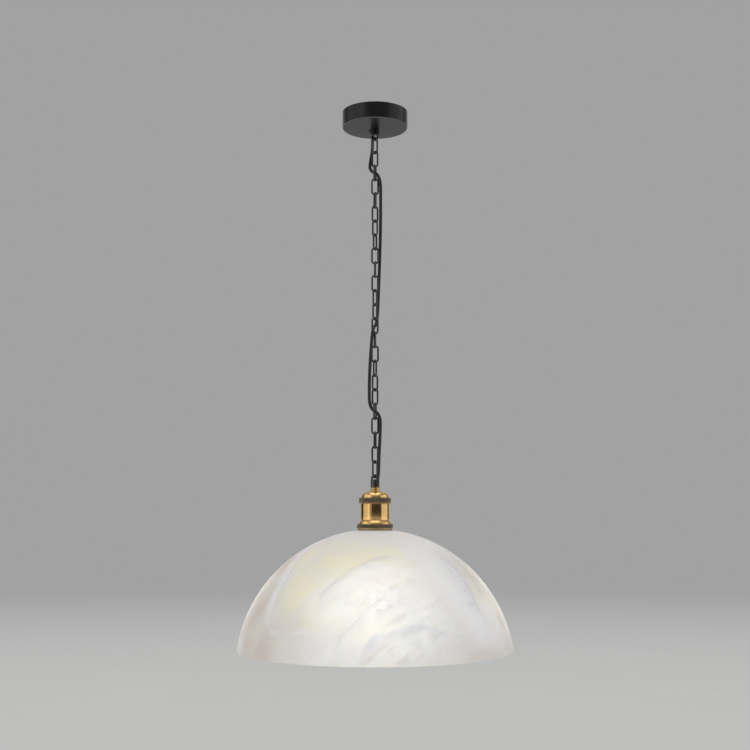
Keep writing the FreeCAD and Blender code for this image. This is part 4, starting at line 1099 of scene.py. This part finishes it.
class PENDANT_OT_holder(bpy.types.Operator):
    """Turns the brass lamp holder, with knurled bands, and finishes the lamp loop"""

    bl_idname = "pendant.holder"
    bl_label = "Lamp holder"

    # Piece, node, body, outline, and the knurled side as (radius, upper depth, lower depth) in millimetres
    pieces = [
        ("brass_collar", "neck_collar", "lamp", COLLAR_PROFILE, None),
        ("brass_cap", "holder_cap", "lamp", CAP_PROFILE, (23.5, 10.9, 18.4)),
        ("brass_shell", "holder_shell", "lamp", SHELL_PROFILE, None),
        ("brass_seat_ring", "seat_ring", "lamp", SEAT_PROFILE, (26.4, 5.4, 11.4)),
        ("brass_clamp_ring", "clamp_ring", "clamp_ring", CLAMP_PROFILE, (25.6, 1.0, 7.0)),
    ]

    def execute(self, context):
        brass = context.scene.pendant.brass
        polished = polished_brass(brass)
        for name, node, body, outline, side in self.pieces:
            piece = self.turned(brass, name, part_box(node)[1].z, outline, side)
            finishes = [polished]
            if side is not None:
                finishes.append(aged_brass(brass, f"{name}_knurl", side[0] * MM))
            dress(piece, body, "polished_brass", node, *finishes)
        finish_nodes(listed_finish("loop_metal"), "lamp_loop")
        return {"FINISHED"}

    def turned(self, brass, name, top, outline, side):
        """One turned piece with rounded edges and, where it has a knurled side, its knurls."""
        points = profile_points(top, outline)
        if side is not None:
            radius, upper, lower = side
            levels = (top - upper * MM, top - lower * MM)
            points = row_points(points, *levels, brass.knurl_rows)
        piece = turn_piece(name, points, brass.columns)
        round_edges(piece, brass.edge_round, segments=3, angle=25)
        if side is not None:
            cut_knurl(piece, radius * MM, *levels, brass.knurl_rows, brass.columns, brass.knurl_depth)
        smooth(piece, METAL_EDGE)
        return piece


class PENDANT_OT_shade(bpy.types.Operator):
    """Blows the glass shade: part of a sphere with a flat land, a hole and a round rim"""

    bl_idname = "pendant.shade"
    bl_label = "Glass shade"

    columns: count("Columns", "Steps round the shade", 192, 32)
    rings: count("Rings", "Steps of the whole sphere from pole to pole", 128, 32)
    rim_drop: length("Rim drop", "How far the round rim hangs below the sphere's cut", 0.0011)
    rim_round: length("Rim round", "Rounding of the rim's two edges", 0.0019)

    def execute(self, context):
        glass = context.scene.pendant.glass
        outer = sphere_radius(glass)
        centre = sphere_centre(glass)
        rim_level = centre.z + outer - glass.dome_height - self.rim_drop
        land_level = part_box("glass_shade")[1].z
        bpy.ops.object.select_all(action="DESELECT")
        bpy.ops.mesh.primitive_uv_sphere_add(
            segments=self.columns, ring_count=self.rings, radius=outer, location=centre)
        shade = new_piece("swirled_shade")
        bisect(shade, rim_level, keep_below=False, fill=False)
        bisect(shade, land_level, keep_below=True, fill=False)
        select_vertices(shade, lambda place: place.z > land_level - 10 * MERGE_DISTANCE)
        bpy.ops.mesh.extrude_region_move(TRANSFORM_OT_translate={"value": (0.0, 0.0, 0.0)})
        narrow = glass.hole_radius / glass.land_radius
        bpy.ops.transform.resize(value=(narrow, narrow, 1.0), center_override=(0.0, 0.0, land_level))
        close_seams()
        apply_modifier(
            shade, "SOLIDIFY", thickness=glass.wall, offset=-1.0, use_even_offset=True, use_rim=True)
        round_edges(shade, self.rim_round, segments=5, angle=50)
        smooth(shade, SOFT_EDGE)
        dress(shade, "lamp", "alabaster_glass", "glass_shade", alabaster_glass(glass))
        finish_nodes(listed_finish("gasket_rubber"), "shade_gaskets")
        return {"FINISHED"}


class PENDANT_OT_bulb(bpy.types.Operator):
    """Finishes the socket and lights the bulb"""

    bl_idname = "pendant.bulb"
    bl_label = "Socket and bulb"

    def execute(self, context):
        finish_nodes(listed_finish("porcelain"), "socket_body")
        finish_nodes(bulb_glass(context.scene.pendant.bulb), "bulb_globe")
        finish_nodes(listed_finish("bulb_metal"), "bulb_cap")
        finish_nodes(listed_finish("bulb_tip"), "bulb_contact")
        return {"FINISHED"}


class PENDANT_OT_stage(bpy.types.Operator):
    """Sets the floor, the studio light and the camera"""

    bl_idname = "pendant.stage"
    bl_label = "Stage"

    def execute(self, context):
        stage = context.scene.pendant.stage
        self.lay_floor(stage)
        self.light_room(context, stage)
        middle = (Vector(cad_corners[0]) + Vector(cad_corners[1])) / 2
        for name, (place, sides, setting) in SOFTBOXES.items():
            self.softbox(context, name, Vector(place), middle, sides, getattr(stage, setting))
        self.set_camera(context, stage)
        context.scene.view_settings.view_transform = "Standard"
        return {"FINISHED"}

    def lay_floor(self, stage):
        """A wide pale floor that fades into the backdrop."""
        bpy.ops.object.select_all(action="DESELECT")
        bpy.ops.mesh.primitive_circle_add(
            vertices=FLOOR_SIDES, radius=FLOOR_RADIUS, fill_type="NGON",
            location=(0.0, 0.0, stage.floor_level))
        floor = new_piece("studio_floor")
        paler = tuple(value * 1.04 for value in stage.floor)
        material = grained_finish(
            "studio_floor", stage.floor, paler, (3.0,) * 3, (0.7, 0.8), 0.02, 0.6,
            {"Emission Color": stage.floor, "Emission Strength": stage.floor_glow})
        tree = material.node_tree
        away = vector_sum(tree, "LENGTH", surface_place(tree))
        feed(tree, tree.nodes["Principled BSDF"].inputs["Alpha"], ranged(tree, away, *FLOOR_FADE, 1.0, 0.0))
        floor.data.materials.append(material)

    def light_room(self, context, stage):
        """A plain pale backdrop, and a dimmer room for what the pendant reflects."""
        world = bpy.data.worlds.new("studio")
        world.use_nodes = True
        tree = world.node_tree
        tree.nodes.clear()
        seen = add_node(tree, "ShaderNodeBackground", {"Color": stage.backdrop, "Strength": 1.0})
        way = tree.nodes.new("ShaderNodeTexCoord").outputs["Generated"]
        axes = add_node(tree, "ShaderNodeSeparateXYZ", {"Vector": way}).outputs
        above = ranged(tree, axes["Z"], *CEILING_SPAN, stage.walls, stage.ceiling)
        behind = ranged(tree, axes["Y"], *BACK_SPAN, 0.0, stage.back_wall)
        light = strongest(tree, [above, behind])
        reflected = add_node(tree, "ShaderNodeBackground", {"Color": (1.0, 1.0, 1.0), "Strength": light})
        path = tree.nodes.new("ShaderNodeLightPath")
        blend = add_node(tree, "ShaderNodeMixShader", {
            0: path.outputs["Is Camera Ray"], 1: reflected.outputs[0], 2: seen.outputs[0]})
        add_node(tree, "ShaderNodeOutputWorld", {"Surface": blend.outputs[0]})
        context.scene.world = world

    def softbox(self, context, name, place, target, sides, watts):
        """A large soft light that the camera doesn't see."""
        lamp = bpy.data.lights.new(name, "AREA")
        lamp.shape = "RECTANGLE"
        lamp.size, lamp.size_y = sides
        lamp.energy = watts
        light = bpy.data.objects.new(name, lamp)
        light.location = place
        light.rotation_euler = (target - place).to_track_quat("-Z", "Y").to_euler()
        light.visible_camera = False
        context.scene.collection.objects.link(light)

    def set_camera(self, context, stage):
        """The camera stands in front of the shade and looks up a little."""
        lens = bpy.data.cameras.new("camera")
        lens.lens = stage.lens
        lens.sensor_width = SENSOR_WIDTH
        camera = bpy.data.objects.new("camera", lens)
        camera.location = (0.0, -stage.camera_distance, stage.camera_height)
        camera.rotation_euler = (math.pi / 2 + stage.camera_tilt, 0.0, 0.0)
        context.scene.collection.objects.link(camera)
        context.scene.camera = camera


STEPS = [
    PENDANT_OT_groups, PENDANT_OT_rose, PENDANT_OT_chain, PENDANT_OT_cable, PENDANT_OT_wires,
    PENDANT_OT_holder, PENDANT_OT_shade, PENDANT_OT_bulb, PENDANT_OT_stage]


class PENDANT_PT_sidebar(bpy.types.Panel):
    """Settings and steps of the pendant light"""

    bl_idname = "PENDANT_PT_sidebar"
    bl_label = "Pendant light"
    bl_space_type = "VIEW_3D"
    bl_region_type = "UI"
    bl_category = "Pendant"

    def draw(self, context):
        settings = context.scene.pendant
        for step in STEPS:
            self.layout.operator(step.bl_idname)
        for name in ("glass", "brass", "cable", "bulb", "stage"):
            box = self.layout.box()
            box.label(text=name.capitalize())
            group = getattr(settings, name)
            for setting in group.__annotations__:
                box.prop(group, setting)


CLASSES = [
    PendantGlass, PendantBrass, PendantCable, PendantBulb, PendantStage, PendantSettings, *STEPS,
    PENDANT_PT_sidebar]


def register():
    for item in CLASSES:
        bpy.utils.register_class(item)
    bpy.types.Scene.pendant = bpy.props.PointerProperty(type=PendantSettings)


def unregister():
    del bpy.types.Scene.pendant
    for item in reversed(CLASSES):
        bpy.utils.unregister_class(item)


def main():
    register()
    bpy.ops.pendant.groups()
    bpy.ops.pendant.rose()
    bpy.ops.pendant.chain()
    bpy.ops.pendant.cable()
    bpy.ops.pendant.wires()
    bpy.ops.pendant.holder()
    bpy.ops.pendant.shade()
    bpy.ops.pendant.bulb()
    bpy.ops.pendant.stage()


if __name__ == "__main__":
    main()
